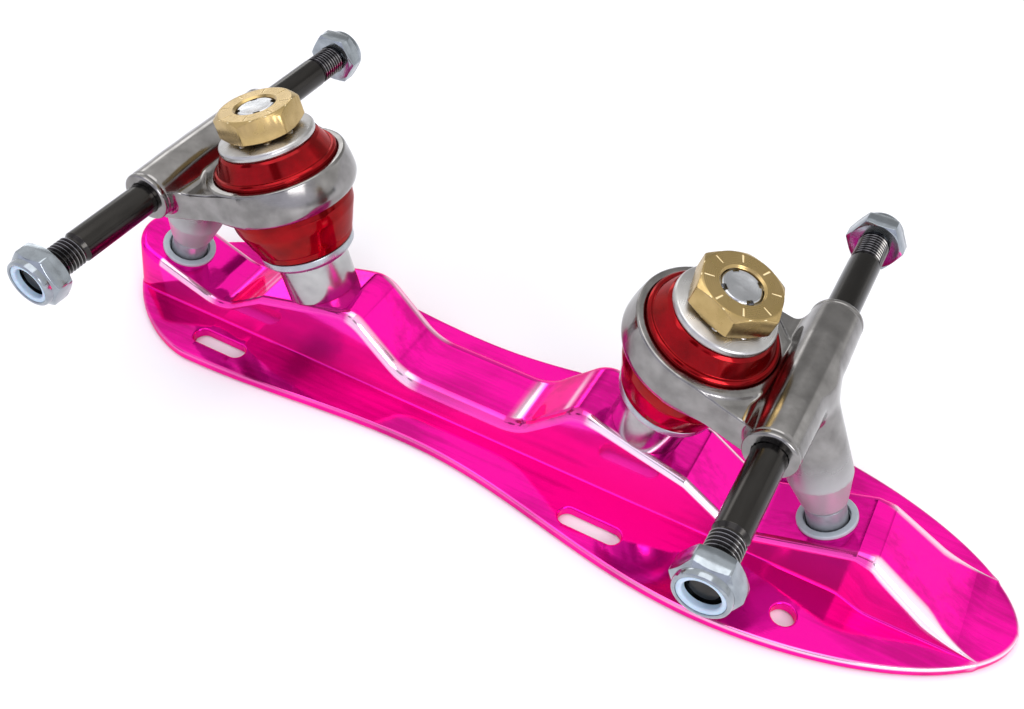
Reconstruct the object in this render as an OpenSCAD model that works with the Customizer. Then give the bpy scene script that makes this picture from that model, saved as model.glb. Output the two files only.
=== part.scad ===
// Quad roller skate plate, boot face down, with two sprung trucks and no wheels.
// X runs from heel to toe, Z is up from the boot face, and Y = 0 is the plane of symmetry.
// The rear truck is the front truck mirrored about X = 0.

/* [Layout] */
// Distance between the two axles
wheelbase = 165.1; // [150:0.1:190]
// Height of the axle centres above the boot face
axle_height = 54; // [50:0.5:58]
// Lean of each kingpin from upright, toward the plate's near end
kingpin_angle = 16; // [12:0.5:20]
// Kingpin pad centre, inboard of the axle
kingpin_inset = 33.5; // [31:0.1:36]
// Height of the kingpin pad at the kingpin
kingpin_pad_z = 22.4; // [20:0.1:24]
// Pivot cup centre, outboard of the axle
pivot_outset = 14.45; // [12:0.05:17]
// Height of the pivot cup's rim at its centre
pivot_z = 16; // [14:0.5:18]

/* [Flange] */
// Thickness of the flange under the boot
flange_t = 3; // [2:0.1:5]
// Flange beyond the rear axle
heel_overhang = 31.4; // [30:0.1:36]
// Flange beyond the front axle
toe_overhang = 65; // [60:0.5:72]
// Half width at the heel
heel_half = 26.5; // [24:0.1:30]
// Half width at the waist
waist_half = 21.5; // [20:0.1:26]
// Half width at the ball of the foot
ball_half = 33.1; // [30:0.1:38]
// Place of the waist
waist_x = -8; // [-20:1:10]
// Roundness of the heel end, where 2 is an ellipse
heel_power = 1.6; // [1.4:0.05:2.2]
// Roundness of the toe end, where 2 is an ellipse
toe_power = 1.85; // [1.5:0.05:2.2]

/* [Spine] */
// Half width of the raised spine
spine_half = 10.4; // [9:0.1:12]
// Height of the spine between the trucks
mid_z = 11; // [8:0.5:14]
// Half length of the low part between the trucks
mid_half = 17.5; // [12:0.5:22]
// Slope of the ramps up to the kingpin pads
ramp_angle = 45; // [35:1:55]
// Length of each kingpin pad outboard of its kingpin
pad_reach = 14.6; // [12.5:0.1:17]
// Slope of the step down from the kingpin pad
groove_angle = 34; // [28:1:42]
// Radius of the hollow between kingpin pad and pivot pad
valley_r = 11; // [3:0.5:12]
// Pivot pad beyond the front pivot cup
land_start = 9.8; // [8.5:0.1:12]
// Level land ahead of the front pivot pad
land_len = 4.4; // [3:0.1:7]
// Flange left flat ahead of the toe ramp
toe_flat = 7.5; // [5:0.5:12]
// Half width of the spine at the flange under the toe ramp
toe_base_half = 12.8; // [11:0.1:14]
// Radius of the spine's heel end at the boot face
heel_end_r = 14.6; // [13:0.1:16]
// Radius of the spine's heel end at the top of the pad
heel_top_r = 11; // [10.5:0.1:13]

/* [Boot bolts] */
// Length of a boot-bolt slot
slot_len = 17; // [12:0.5:22]
// Width of a boot-bolt slot
slot_w = 5.2; // [4.5:0.1:6]
// Rear slots ahead of the rear axle
rear_slot_in = 8.9; // [5:0.1:14]
// Rear slots either side of the middle
rear_slot_y = 18.4; // [17:0.1:20]
// Front slots behind the front axle
front_slot_in = 37; // [32:0.5:42]
// Front slots either side of the middle
front_slot_y = 22.6; // [19:0.1:25]
// Round holes ahead of the front axle
hole_out = 14; // [10:0.5:18]
// Diameter of the round holes
hole_d = 6; // [4:0.1:7]

/* [Kingpin stack] */
// Kingpin diameter
kingpin_d = 10; // [9.5:0.1:11]
// Kingpin length above its pad
kingpin_len = 53.8; // [52:0.1:57]
// Kingpin length down into the plate
kingpin_root = 14; // [10:0.5:16]
// Collar diameter
collar_d = 19.2; // [18:0.1:22]
// Collar height
collar_h = 11.8; // [10:0.1:13]
// Bottom cup diameter
cup_d = 25.4; // [24:0.1:28]
// Bottom cup height with its lip
cup_h = 3; // [2.5:0.1:4]
// Bottom of the hanger ring, above the pad
ring_low = 29.1; // [28:0.1:31]
// Depth of the hanger ring
ring_h = 9.6; // [8.5:0.1:10.5]
// Outside radius of the ring at its rim
ring_rim_r = 18; // [17.5:0.1:18.5]
// Outside radius of the ring at its widest
ring_belly_r = 19; // [18.6:0.1:20]
// Wall of the ring at its rim
ring_wall = 1.9; // [1.5:0.1:2.5]
// Thickness of the shelf between the cushions
shelf_t = 2.8; // [2:0.1:4]
// Height of the top cushion above the ring's rim
top_cushion_out = 5.7; // [5:0.1:7]
// Retainer diameter
retainer_d = 24.8; // [23:0.1:26]
// Retainer thickness
retainer_t = 2.5; // [2:0.1:3.5]
// Gap between retainer and adjuster nut, where the domes stand
dome_gap = 1; // [0.6:0.1:1.2]
// Adjuster nut across its flats
adjuster_af = 19.05; // [17:0.05:22]
// Adjuster nut height
adjuster_h = 6.3; // [5:0.1:8]

/* [Hanger and axle] */
// Axle diameter
axle_d = 8; // [7:0.1:9]
// Length of the hanger's axle tube
tube_len = 47.8; // [46:0.1:56]
// Tube diameter at its ends
tube_end_d = 12.7; // [12:0.1:14]
// Tube diameter at its middle
tube_mid_d = 13.2; // [12.8:0.1:15]
// Smooth axle beyond each end of the tube
shank_len = 23; // [18:0.1:26]
// Axle nut across its flats
nut_af = 13; // [12:0.1:14]
// Axle nut height with its collar
nut_h = 7; // [6:0.1:8.5]
// Thread bare between shank and nut
thread_show = 8.4; // [6:0.1:12]
// Half width of the web where it meets the tube
web_half = 19; // [17:0.1:20.5]
// Pivot arm radius at its foot
arm_foot_r = 5.3; // [5.2:0.1:6]
// Pivot arm radius above its flare
arm_top_r = 7.8; // [7:0.1:9]
// Height of the pivot arm's flare
arm_flare = 15; // [10:0.5:20]
// Radius of the pivot pin's round end
ball_r = 5; // [4.5:0.1:5.1]
// Pivot cup rim diameter
pivot_cup_d = 14.8; // [14.4:0.1:16]

/* [Fits] */
// Gap all round a piece that stands still in another
still_gap = 0.03; // [0.02:0.01:0.1]
// Gap all round a piece that turns on another
turn_gap = 0.06; // [0.03:0.01:0.1]
// Gap all round the pivot pin's round end
ball_gap = 0.3; // [0.2:0.05:0.4]
// Gap between cushions and what they seat in
seat_gap = 0.1; // [0.05:0.05:0.3]

/* [Hidden] */
$fn = 64;
// Small overlap for clean cuts
cut = 1;
axle_x = wheelbase / 2;
kingpin_x = axle_x - kingpin_inset;
pivot_x = axle_x + pivot_outset;
pivot_angle = atan(pivot_outset / (axle_height - pivot_z));
pivot_reach = norm([pivot_outset, axle_height - pivot_z]);
kingpin_r = kingpin_d / 2;
axle_r = axle_d / 2;
heel_tip = -axle_x - heel_overhang;
toe_tip = axle_x + toe_overhang;
heel_x = -axle_x + 2.5;
ball_x = axle_x - 6.5;
// Heights on the kingpin, measured from its pad
cup_top = collar_h + cup_h;
ring_top = ring_low + ring_h;
shelf_low = ring_low + (ring_h - shelf_t) / 2;
shelf_top = shelf_low + shelf_t;
retainer_low = ring_top + top_cushion_out;
retainer_top = retainer_low + retainer_t;
adjuster_low = retainer_top + dome_gap;
cup_floor = 1.2;
seat_r = ring_rim_r - ring_wall;
kingpin_hole_r = kingpin_r + 1.6;
// Heights on the pivot pin, measured up from the cup's rim
cup_rim_t = 1;
cup_body_r = 6.5;
cup_depth = 8;
ball_down = 1.5;
arm_foot = 2.8;
pin_shank_r = 3.5;
pin_shank_len = 12;
// Places on the axle, measured from the middle
tube_half = tube_len / 2;
barrel_half = web_half - 4;
thread_start = tube_half + shank_len;
nut_start = thread_start + thread_show;
nut_end = nut_start + nut_h;
axle_half = nut_end - 2.2;
nut_hex_h = nut_h - 1.8;
insert_t = 1.6;
insert_r = 5.1;

// Corners of the spine's side view, on the front half
crest_x = (kingpin_pad_z - mid_z + kingpin_x * tan(kingpin_angle) + mid_half * tan(ramp_angle))
    / (tan(ramp_angle) + tan(kingpin_angle));
crest_z = mid_z + (crest_x - mid_half) * tan(ramp_angle);
groove_x = kingpin_x + pad_reach;
groove_z = kingpin_pad_z - pad_reach * tan(kingpin_angle);
pivot_pad_z = pivot_z - cup_rim_t / cos(pivot_angle);
valley_x = (groove_z - pivot_pad_z + groove_x * tan(groove_angle) + pivot_x * tan(pivot_angle))
    / (tan(groove_angle) + tan(pivot_angle));
valley_z = groove_z - (valley_x - groove_x) * tan(groove_angle);
land_z = pivot_pad_z + land_start * tan(pivot_angle);
heel_pad_z = pivot_pad_z + (-heel_tip - pivot_x) * tan(pivot_angle);
heel_end_x = heel_tip + heel_end_r;

// Piece to show, or all of them

// Half width of the flange at a place along it
function ease(t) = (1 - cos(180 * t)) / 2;
function bulge(t, power) = pow(max(0, 1 - pow(t, power)), 1 / power);
function flange_half(x) =
    x < heel_x ? heel_half * bulge((heel_x - x) / (heel_x - heel_tip), heel_power)
    : x < waist_x ? heel_half + (waist_half - heel_half) * ease((x - heel_x) / (waist_x - heel_x))
    : x < ball_x ? waist_half + (ball_half - waist_half) * ease((x - waist_x) / (ball_x - waist_x))
    : ball_half * bulge((x - ball_x) / (toe_tip - ball_x), toe_power);

// Stations along the flange, close together at the round ends
function stations() = concat(
    [for (i = [0:11]) heel_x - (heel_x - heel_tip) * cos(90 * i / 12)],
    [for (i = [0:8]) heel_x + (waist_x - heel_x) * i / 9],
    [for (i = [0:11]) waist_x + (ball_x - waist_x) * i / 12],
    [for (i = [0:16]) ball_x + (toe_tip - ball_x) * sin(90 * i / 16)]
);

module flange_outline() {
    xs = stations();
    last = len(xs) - 1;
    polygon(concat(
        [for (i = [0:last]) [xs[i], -flange_half(xs[i])]],
        [for (i = [1:last - 1]) [xs[last - i], flange_half(xs[last - i])]]
    ));
}

// A corner of an outline rounded to a radius
function unit(v) = v / norm(v);
function turned(v, a) = [v[0] * cos(a) - v[1] * sin(a), v[0] * sin(a) + v[1] * cos(a)];
function arc(a, b, c, r, steps) =
    let (
        u = unit(a - b),
        v = unit(c - b),
        half = acos(u * v) / 2,
        start = b + u * r / tan(half),
        middle = b + unit(u + v) * r / sin(half),
        way = cross(u, v) > 0 ? -1 : 1
    )
    [for (i = [0:steps]) middle + turned(start - middle, way * (180 - 2 * half) * i / steps)];
function rounded(corners, steps = 8) =
    let (n = len(corners))
    [for (i = [0:n - 1])
        let (
            p = corners[i],
            a = corners[(i + n - 1) % n],
            c = corners[(i + 1) % n]
        )
        each p[2] == 0 ? [[p[0], p[1]]] : arc([a[0], a[1]], [p[0], p[1]], [c[0], c[1]], p[2], steps)];

module spine_side() {
    polygon(rounded([
        [heel_tip, 0, 0],
        [heel_tip, heel_pad_z, 0],
        [-valley_x, valley_z, valley_r],
        [-groove_x, groove_z, 1.5],
        [-crest_x, crest_z, 4],
        [-mid_half, mid_z, 7],
        [mid_half, mid_z, 7],
        [crest_x, crest_z, 4],
        [groove_x, groove_z, 1.5],
        [valley_x, valley_z, valley_r],
        [pivot_x + land_start, land_z, 1],
        [pivot_x + land_start + land_len, land_z, 3],
        [toe_tip - toe_flat, flange_t, 0],
        [toe_tip - toe_flat, 0, 0]
    ]));
}

// What the spine fills seen from above: a bar with a round heel and a flared toe
module spine_plan() {
    toe_start = pivot_x + land_start + land_len;
    translate([heel_end_x, -spine_half, 0]) cube([toe_start - heel_end_x + cut, 2 * spine_half, 60]);
    intersection() {
        translate([heel_end_x, 0, 0]) cylinder(h = heel_pad_z, r1 = heel_end_r, r2 = heel_top_r);
        translate([heel_tip - cut, -spine_half, 0]) cube([2 * heel_end_r, 2 * spine_half, 60]);
    }
    translate([toe_start, 0, 0]) rotate([90, 0, 90]) linear_extrude(toe_tip - toe_start) polygon([
        [-toe_base_half, 0],
        [toe_base_half, 0],
        [toe_base_half, flange_t],
        [spine_half, land_z],
        [-spine_half, land_z],
        [-toe_base_half, flange_t]
    ]);
}

module slot_cut(x, y) {
    translate([x, y, -cut]) {
        linear_extrude(flange_t + 2 * cut) {
            square([slot_len - slot_w, slot_w], center = true);
            translate([(slot_len - slot_w) / 2, 0]) circle(d = slot_w);
            translate([(slot_w - slot_len) / 2, 0]) circle(d = slot_w);
        }
    }
}

// Frames of one truck: Z along the kingpin, and Z up the pivot pin
module on_kingpin() {
    translate([kingpin_x, 0, kingpin_pad_z]) rotate([0, kingpin_angle, 0]) children();
}

module on_pivot() {
    translate([pivot_x, 0, pivot_z]) rotate([0, -pivot_angle, 0]) children();
}

module on_axle() {
    translate([axle_x, 0, axle_height]) rotate([90, 0, 0]) children();
}

module to_rear() {
    mirror([1, 0, 0]) children();
}

module plate_cuts() {
    on_kingpin() translate([0, 0, -kingpin_root - 0.5]) cylinder(h = 40, r = kingpin_r + still_gap);
    on_pivot() translate([0, 0, -cup_depth - 0.2]) cylinder(h = 30, r = cup_body_r + still_gap);
}

module plate() {
    color([0.9, 0.0, 0.45])
    difference() {
        union() {
            linear_extrude(flange_t) flange_outline();
            intersection() {
                rotate([90, 0, 0])
                    translate([0, 0, -toe_base_half]) linear_extrude(2 * toe_base_half) spine_side();
                spine_plan();
            }
        }
        plate_cuts();
        to_rear() plate_cuts();
        for (side = [-1, 1]) {
            slot_cut(-axle_x + rear_slot_in, side * rear_slot_y);
            slot_cut(axle_x - front_slot_in, side * front_slot_y);
            translate([axle_x + hole_out, side * front_slot_y, -cut]) cylinder(h = flange_t + 2 * cut, d = hole_d);
        }
    }
}

// Stud with a chamfered top and four small notches at its rim
module kingpin() {
    color([0.75, 0.75, 0.77])
    on_kingpin()
    difference() {
        union() {
            translate([0, 0, -kingpin_root]) cylinder(h = kingpin_root + kingpin_len - 0.6, r = kingpin_r);
            translate([0, 0, kingpin_len - 0.6]) cylinder(h = 0.6, r1 = kingpin_r, r2 = kingpin_r - 0.6);
        }
        for (a = [45:90:315]) {
            rotate([0, 0, a]) translate([kingpin_r - 1, -0.7, kingpin_len - 1.5]) cube([2, 1.4, 3]);
        }
    }
}

module collar() {
    color([0.8, 0.8, 0.8])
    on_kingpin()
    difference() {
        union() {
            cylinder(h = collar_h - 0.8, d = collar_d);
            translate([0, 0, collar_h - 0.8]) cylinder(h = 0.8, d1 = collar_d, d2 = collar_d - 1.6);
        }
        translate([0, 0, -cut]) cylinder(h = collar_h + 2 * cut, r = kingpin_r + still_gap);
    }
}

// Dished washer under the bottom cushion
module bottom_cup() {
    color([0.7, 0.72, 0.75])
    on_kingpin() translate([0, 0, collar_h])
    difference() {
        union() {
            cylinder(h = cup_floor, d1 = cup_d - 2, d2 = cup_d);
            translate([0, 0, cup_floor]) cylinder(h = cup_h - cup_floor, d = cup_d);
        }
        translate([0, 0, -cut]) cylinder(h = cup_h + 2 * cut, r = kingpin_r + still_gap);
        translate([0, 0, cup_floor]) cylinder(h = cup_h, d = cup_d - 1.6);
    }
}

module bottom_cushion() {
    foot_r = cup_d / 2 - 0.8 - seat_gap;
    head_r = seat_r - seat_gap;
    color([0.75, 0.02, 0.05])
    on_kingpin()
    rotate_extrude()
    polygon([
        [kingpin_r + seat_gap, collar_h + cup_floor],
        [foot_r, collar_h + cup_floor],
        [foot_r, cup_top + 0.2],
        [cup_d / 2 + 0.3, cup_top + 0.6],
        [head_r - 1.4, ring_low - 9],
        [head_r, ring_low - 5.5],
        [head_r + 0.3, ring_low - 3],
        [head_r + 0.2, ring_low - 1.2],
        [head_r, ring_low - 0.2],
        [head_r, shelf_low],
        [kingpin_hole_r, shelf_low],
        [kingpin_r + seat_gap, shelf_low - 1.2]
    ]);
}

// Cone with a flange at its foot, seated in the ring
module top_cushion() {
    foot_r = seat_r - seat_gap;
    color([0.75, 0.02, 0.05])
    on_kingpin()
    rotate_extrude()
    polygon([
        [kingpin_r + seat_gap, shelf_top + 1.2],
        [kingpin_hole_r, shelf_top],
        [foot_r, shelf_top],
        [foot_r, ring_top + 0.9],
        [foot_r - 0.5, ring_top + 1.5],
        [foot_r - 1.1, ring_top + 1.5],
        [retainer_d / 2 + 0.4, retainer_low - 0.5],
        [retainer_d / 2 - 0.2, retainer_low],
        [kingpin_r + seat_gap, retainer_low]
    ]);
}

// Washer with eight domes that the adjuster nut clicks over
module retainer() {
    color([0.8, 0.8, 0.8])
    on_kingpin()
    difference() {
        union() {
            translate([0, 0, retainer_low]) cylinder(h = 0.5, d1 = retainer_d - 1, d2 = retainer_d);
            translate([0, 0, retainer_low + 0.5]) cylinder(h = retainer_t - 1, d = retainer_d);
            translate([0, 0, retainer_top - 0.5]) cylinder(h = 0.5, d1 = retainer_d, d2 = retainer_d - 1);
            for (a = [0:45:315]) {
                rotate([0, 0, a]) translate([adjuster_af / 2 - 1.6, 0, retainer_top - 0.8])
                    sphere(r = 0.8 + dome_gap - 0.2, $fn = 24);
            }
        }
        translate([0, 0, retainer_low - cut]) cylinder(h = retainer_t + 2 * cut, r = kingpin_r + turn_gap);
    }
}

// Hexagon with its top corners turned off and eight engraved marks
module adjuster_nut(hex_turn) {
    flat_r = adjuster_af / 2;
    color([0.72, 0.58, 0.3])
    on_kingpin() translate([0, 0, adjuster_low])
    difference() {
        intersection() {
            rotate([0, 0, hex_turn]) cylinder(h = adjuster_h, d = adjuster_af / cos(30), $fn = 6);
            union() {
                cylinder(h = 0.8, r1 = flat_r, r2 = flat_r + 1.9);
                translate([0, 0, 0.8]) cylinder(h = adjuster_h - 2, r = flat_r + 1.9);
                translate([0, 0, adjuster_h - 1.2]) cylinder(h = 1.2, r1 = flat_r + 1.9, r2 = flat_r - 0.1);
            }
        }
        translate([0, 0, -cut]) cylinder(h = adjuster_h + 2 * cut, r = kingpin_r + turn_gap);
        for (a = [22.5:45:337.5]) {
            rotate([0, 0, a]) translate([flat_r - 3, -0.2, adjuster_h - 0.25]) cube([2.4, 0.4, 1]);
        }
    }
}

// Cushion ring, seen in section, with a shelf between the cushions
module ring_section() {
    mid = ring_low + ring_h * 0.3;
    polygon([
        [kingpin_hole_r, shelf_low],
        [seat_r, shelf_low],
        [seat_r, ring_low],
        [ring_rim_r - 0.2, ring_low],
        [ring_belly_r - 0.3, ring_low + 1.2],
        [ring_belly_r, mid],
        [ring_belly_r - 0.2, mid + 1.6],
        [ring_rim_r, ring_top - 0.5],
        [ring_rim_r - 0.5, ring_top],
        [seat_r, ring_top],
        [seat_r, shelf_top],
        [kingpin_hole_r, shelf_top]
    ]);
}

// Axle tube, seen in section, turned about the axle
module tube_section() {
    polygon([
        [0, -tube_half],
        [tube_end_d / 2 - 0.8, -tube_half],
        [tube_end_d / 2, -tube_half + 0.8],
        [tube_end_d / 2, -tube_half + 2],
        [tube_mid_d / 2, -barrel_half],
        [tube_mid_d / 2, barrel_half],
        [tube_end_d / 2, tube_half - 2],
        [tube_end_d / 2, tube_half - 0.8],
        [tube_end_d / 2 - 0.8, tube_half],
        [0, tube_half]
    ]);
}

module hanger() {
    web_reach = kingpin_inset / cos(kingpin_angle) - ring_low * tan(kingpin_angle);
    color([0.78, 0.76, 0.74])
    difference() {
        union() {
            on_kingpin() rotate_extrude() ring_section();
            on_kingpin() translate([0, 0, ring_low + 1.2]) difference() {
                linear_extrude(ring_h - 1.8) polygon([
                    [0, -ring_rim_r + 0.4],
                    [web_reach, -web_half],
                    [web_reach, web_half],
                    [0, ring_rim_r - 0.4]
                ]);
                translate([0, 0, -cut]) cylinder(h = ring_h, r = seat_r + 1);
            }
            on_axle() rotate_extrude() tube_section();
            on_pivot() translate([0, 0, arm_foot]) cylinder(h = arm_flare, r1 = arm_foot_r, r2 = arm_top_r);
            on_pivot() translate([0, 0, arm_foot + arm_flare])
                cylinder(h = pivot_reach - arm_foot - arm_flare, r1 = arm_top_r, r2 = tube_end_d / 2);
        }
        on_axle() translate([0, 0, -tube_half - cut]) cylinder(h = tube_len + 2 * cut, r = axle_r + still_gap);
        on_pivot() cylinder(h = arm_foot + pin_shank_len + 0.3, r = pin_shank_r + still_gap);
    }
}

module pivot_pin() {
    color([0.5, 0.52, 0.55])
    on_pivot() {
        translate([0, 0, -ball_down]) sphere(r = ball_r);
        translate([0, 0, -ball_down]) cylinder(h = ball_down + arm_foot, r = ball_r);
        cylinder(h = arm_foot + pin_shank_len, r = pin_shank_r);
    }
}

// Socket with a rim that stands on the pivot pad
module pivot_cup() {
    mouth_r = ball_r + ball_gap + 0.3;
    color([0.55, 0.58, 0.6])
    on_pivot()
    difference() {
        union() {
            translate([0, 0, -cup_rim_t]) cylinder(h = cup_rim_t, d = pivot_cup_d);
            translate([0, 0, -cup_depth]) cylinder(h = cup_depth, r = cup_body_r);
        }
        translate([0, 0, -ball_down]) sphere(r = ball_r + ball_gap);
        translate([0, 0, -ball_down]) cylinder(h = ball_down + cut, r = mouth_r);
    }
}

module axle() {
    neck = 0.5;
    color([0.12, 0.12, 0.12])
    on_axle() rotate_extrude() polygon([
        [0, -axle_half],
        [axle_r - 1, -axle_half],
        [axle_r - 0.1, -axle_half + 0.9],
        [axle_r - 0.1, -thread_start - neck],
        [axle_r, -thread_start],
        [axle_r, thread_start],
        [axle_r - 0.1, thread_start + neck],
        [axle_r - 0.1, axle_half - 0.9],
        [axle_r - 1, axle_half],
        [0, axle_half]
    ]);
}

// Lock nut: hexagon with a round crimped collar that holds the insert; side is -1 near, 1 far
module axle_nut(side) {
    flat_r = nut_af / 2;
    color([0.75, 0.77, 0.8])
    translate([axle_x, 0, axle_height]) rotate([-90 * side, 0, 0]) translate([0, 0, nut_start])
    difference() {
        union() {
            intersection() {
                cylinder(h = nut_hex_h, d = nut_af / cos(30), $fn = 6);
                union() {
                    cylinder(h = 0.7, r1 = flat_r - 0.1, r2 = flat_r + 1.2);
                    translate([0, 0, 0.7]) cylinder(h = nut_hex_h - 1.6, r = flat_r + 1.2);
                    translate([0, 0, nut_hex_h - 0.9]) cylinder(h = 0.9, r1 = flat_r + 1.2, r2 = flat_r - 0.3);
                }
            }
            cylinder(h = nut_h - 0.6, r = flat_r - 0.4);
            translate([0, 0, nut_h - 0.6]) cylinder(h = 0.6, r1 = flat_r - 0.4, r2 = flat_r - 1);
        }
        translate([0, 0, -cut]) cylinder(h = nut_h + 2 * cut, r = axle_r + still_gap);
        translate([0, 0, nut_h - insert_t - 0.3]) cylinder(h = insert_t + 1, r = insert_r);
    }
}

module nut_insert(side) {
    color([0.8, 0.87, 0.95])
    translate([axle_x, 0, axle_height]) rotate([-90 * side, 0, 0]) translate([0, 0, nut_end - insert_t - 0.3])
    difference() {
        cylinder(h = insert_t, r = insert_r);
        translate([0, 0, -cut]) cylinder(h = insert_t + 2 * cut, r = axle_r - 0.1 + still_gap);
    }
}

plate();

kingpin();  // front_kingpin
collar();  // front_collar
bottom_cup();  // front_bottom_cup
bottom_cushion();  // front_bottom_cushion
top_cushion();  // front_top_cushion
retainer();  // front_retainer
adjuster_nut(43);  // front_adjuster_nut
hanger();  // front_hanger
pivot_pin();  // front_pivot_pin
pivot_cup();  // front_pivot_cup
axle();  // front_axle
axle_nut(1);  // front_nut_left
axle_nut(-1);  // front_nut_right
nut_insert(1);  // front_insert_left
nut_insert(-1);  // front_insert_right

to_rear() kingpin();  // rear_kingpin
to_rear() collar();  // rear_collar
to_rear() bottom_cup();  // rear_bottom_cup
to_rear() bottom_cushion();  // rear_bottom_cushion
to_rear() top_cushion();  // rear_top_cushion
to_rear() retainer();  // rear_retainer
to_rear() adjuster_nut(15);  // rear_adjuster_nut
to_rear() hanger();  // rear_hanger
to_rear() pivot_pin();  // rear_pivot_pin
to_rear() pivot_cup();  // rear_pivot_cup
to_rear() axle();  // rear_axle
to_rear() axle_nut(1);  // rear_nut_left
to_rear() axle_nut(-1);  // rear_nut_right
to_rear() nut_insert(1);  // rear_insert_left
to_rear() nut_insert(-1);  // rear_insert_right
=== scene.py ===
"""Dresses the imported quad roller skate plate.

The plate is a polished pink anodised casting that lies boot face down. Each of its two trucks has a
kingpin with red cushions, a cast hanger, a brass adjuster and a black axle with lock nuts.
Sizes are millimetres in the model's own frame, and meshes are written in metres.
"""

import logging
import math
from dataclasses import dataclass, field
from enum import Enum
from functools import cache
from typing import Any, Callable, Sequence

import bmesh
import bpy
import numpy as np
import openvdb
from bpy.types import Material, Mesh, Node, NodeSocket, NodeTree, Object
from mathutils import Matrix, Vector


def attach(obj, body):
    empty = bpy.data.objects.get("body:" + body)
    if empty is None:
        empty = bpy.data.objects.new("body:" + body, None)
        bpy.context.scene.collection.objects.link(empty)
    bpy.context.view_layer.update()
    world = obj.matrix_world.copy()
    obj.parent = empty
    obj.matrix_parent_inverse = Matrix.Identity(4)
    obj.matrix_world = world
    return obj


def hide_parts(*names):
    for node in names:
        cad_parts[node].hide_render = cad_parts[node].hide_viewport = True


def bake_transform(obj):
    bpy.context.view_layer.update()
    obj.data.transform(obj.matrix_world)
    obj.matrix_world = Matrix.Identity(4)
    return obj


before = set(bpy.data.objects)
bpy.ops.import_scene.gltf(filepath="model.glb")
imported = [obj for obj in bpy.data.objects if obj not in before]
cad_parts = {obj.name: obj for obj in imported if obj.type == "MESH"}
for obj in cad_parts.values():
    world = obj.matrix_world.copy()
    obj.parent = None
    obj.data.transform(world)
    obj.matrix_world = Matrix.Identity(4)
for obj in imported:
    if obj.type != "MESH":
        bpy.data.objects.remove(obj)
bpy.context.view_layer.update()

Colour = tuple[float, float, float]
Corner = tuple[float, float, float]
Spot = tuple[float, float, float]
Point = tuple[float, float]

LOG = logging.getLogger("skate_plate")
MM = 0.001
ROUND_STEPS = 96
HEX_CRISPNESS = 90.0
WELD_MM = 1e-4
SLIVER_MM = 1e-5
TINY = 1e-6

# Mesh attributes that a finish can read
# Share of painted highlight on the plate's rounded edges, bends and toe rim, and on the hangers' arm foot,
# which is also a rougher, less metallic satin
HIGHLIGHT_MARK = "rounded_edge"
# Share of lighter, bluer pink painted on the plate's spine walls in place of the reflections they show
WALL_PAINT_MARK = "spine_wall"

# Numbers of a Mix node's colour sockets, because their names are not unique
MIX_LOW = 6
MIX_HIGH = 7
MIX_RESULT = 2


class Place(Enum):
    """A choice between two places."""

    @property
    def word(self) -> str:
        """Name of the place as the model's nodes spell it."""
        return self.name.lower()


class End(Place):
    """The two trucks, with the sign of their place along X."""

    FRONT = 1
    REAR = -1


class Side(Place):
    """The two ends of an axle, with the sign of their place along Y."""

    LEFT = 1
    RIGHT = -1


@dataclass(frozen=True)
class Layout:
    """Where the trucks stand on the plate, and the sizes that several of their pieces share.

    The rear truck is the front one mirrored about X = 0.
    """

    wheelbase: float = 165.1
    axle_height: float = 54.0
    kingpin_angle: float = 16.0
    kingpin_inset: float = 33.5
    kingpin_pad_z: float = 22.4
    pivot_outset: float = 14.45
    pivot_z: float = 16.0
    tube_half: float = 23.9
    arm_foot: float = 4.7
    ring_low: float = 29.1
    ring_h: float = 9.6
    seat_r: float = 16.1
    shelf_t: float = 2.8

    @property
    def axle_x(self) -> float:
        """Distance of either axle from the middle."""
        return self.wheelbase / 2

    @property
    def kingpin_x(self) -> float:
        """Distance of either kingpin's foot from the middle."""
        return self.axle_x - self.kingpin_inset

    @property
    def pivot_x(self) -> float:
        """Distance of either pivot cup from the middle."""
        return self.axle_x + self.pivot_outset

    @property
    def pivot_angle(self) -> float:
        """Lean of the pivot pin, in degrees, toward the axle."""
        return math.degrees(math.atan2(self.pivot_outset, self.axle_height - self.pivot_z))

    @property
    def pivot_reach(self) -> float:
        """Length of the pivot pin's line from the cup's rim to the axle."""
        return math.hypot(self.pivot_outset, self.axle_height - self.pivot_z)

    @property
    def ring_top(self) -> float:
        """Height of the hanger ring's rim on the kingpin."""
        return self.ring_low + self.ring_h

    @property
    def shelf_low(self) -> float:
        """Height of the underside of the ring's shelf on the kingpin."""
        return self.ring_low + (self.ring_h - self.shelf_t) / 2

    @property
    def shelf_top(self) -> float:
        """Height of the top of the ring's shelf on the kingpin."""
        return self.shelf_low + self.shelf_t

    def kingpin_frame(self) -> Matrix:
        """Front kingpin's frame, with Z along the kingpin."""
        foot = Matrix.Translation((self.kingpin_x, 0, self.kingpin_pad_z))
        return foot @ Matrix.Rotation(math.radians(self.kingpin_angle), 4, "Y")

    def pivot_frame(self) -> Matrix:
        """Front pivot pin's frame, with Z up the pin."""
        rim = Matrix.Translation((self.pivot_x, 0, self.pivot_z))
        return rim @ Matrix.Rotation(-math.radians(self.pivot_angle), 4, "Y")

    def axle_frame(self, side: Side) -> Matrix:
        """Front axle's frame, with its origin in the middle and Z toward one side."""
        middle = Matrix.Translation((self.axle_x, 0, self.axle_height))
        return middle @ Matrix.Rotation(-side.value * math.pi / 2, 4, "X")


LAYOUT = Layout()


def at_end(place: Matrix, end: End) -> Matrix:
    """Takes a frame of the front truck to either end, in metres and mirrored for the rear truck."""
    mirror = Matrix.Diagonal((end.value, 1, 1, 1))
    return Matrix.Scale(MM, 4) @ mirror @ place


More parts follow.
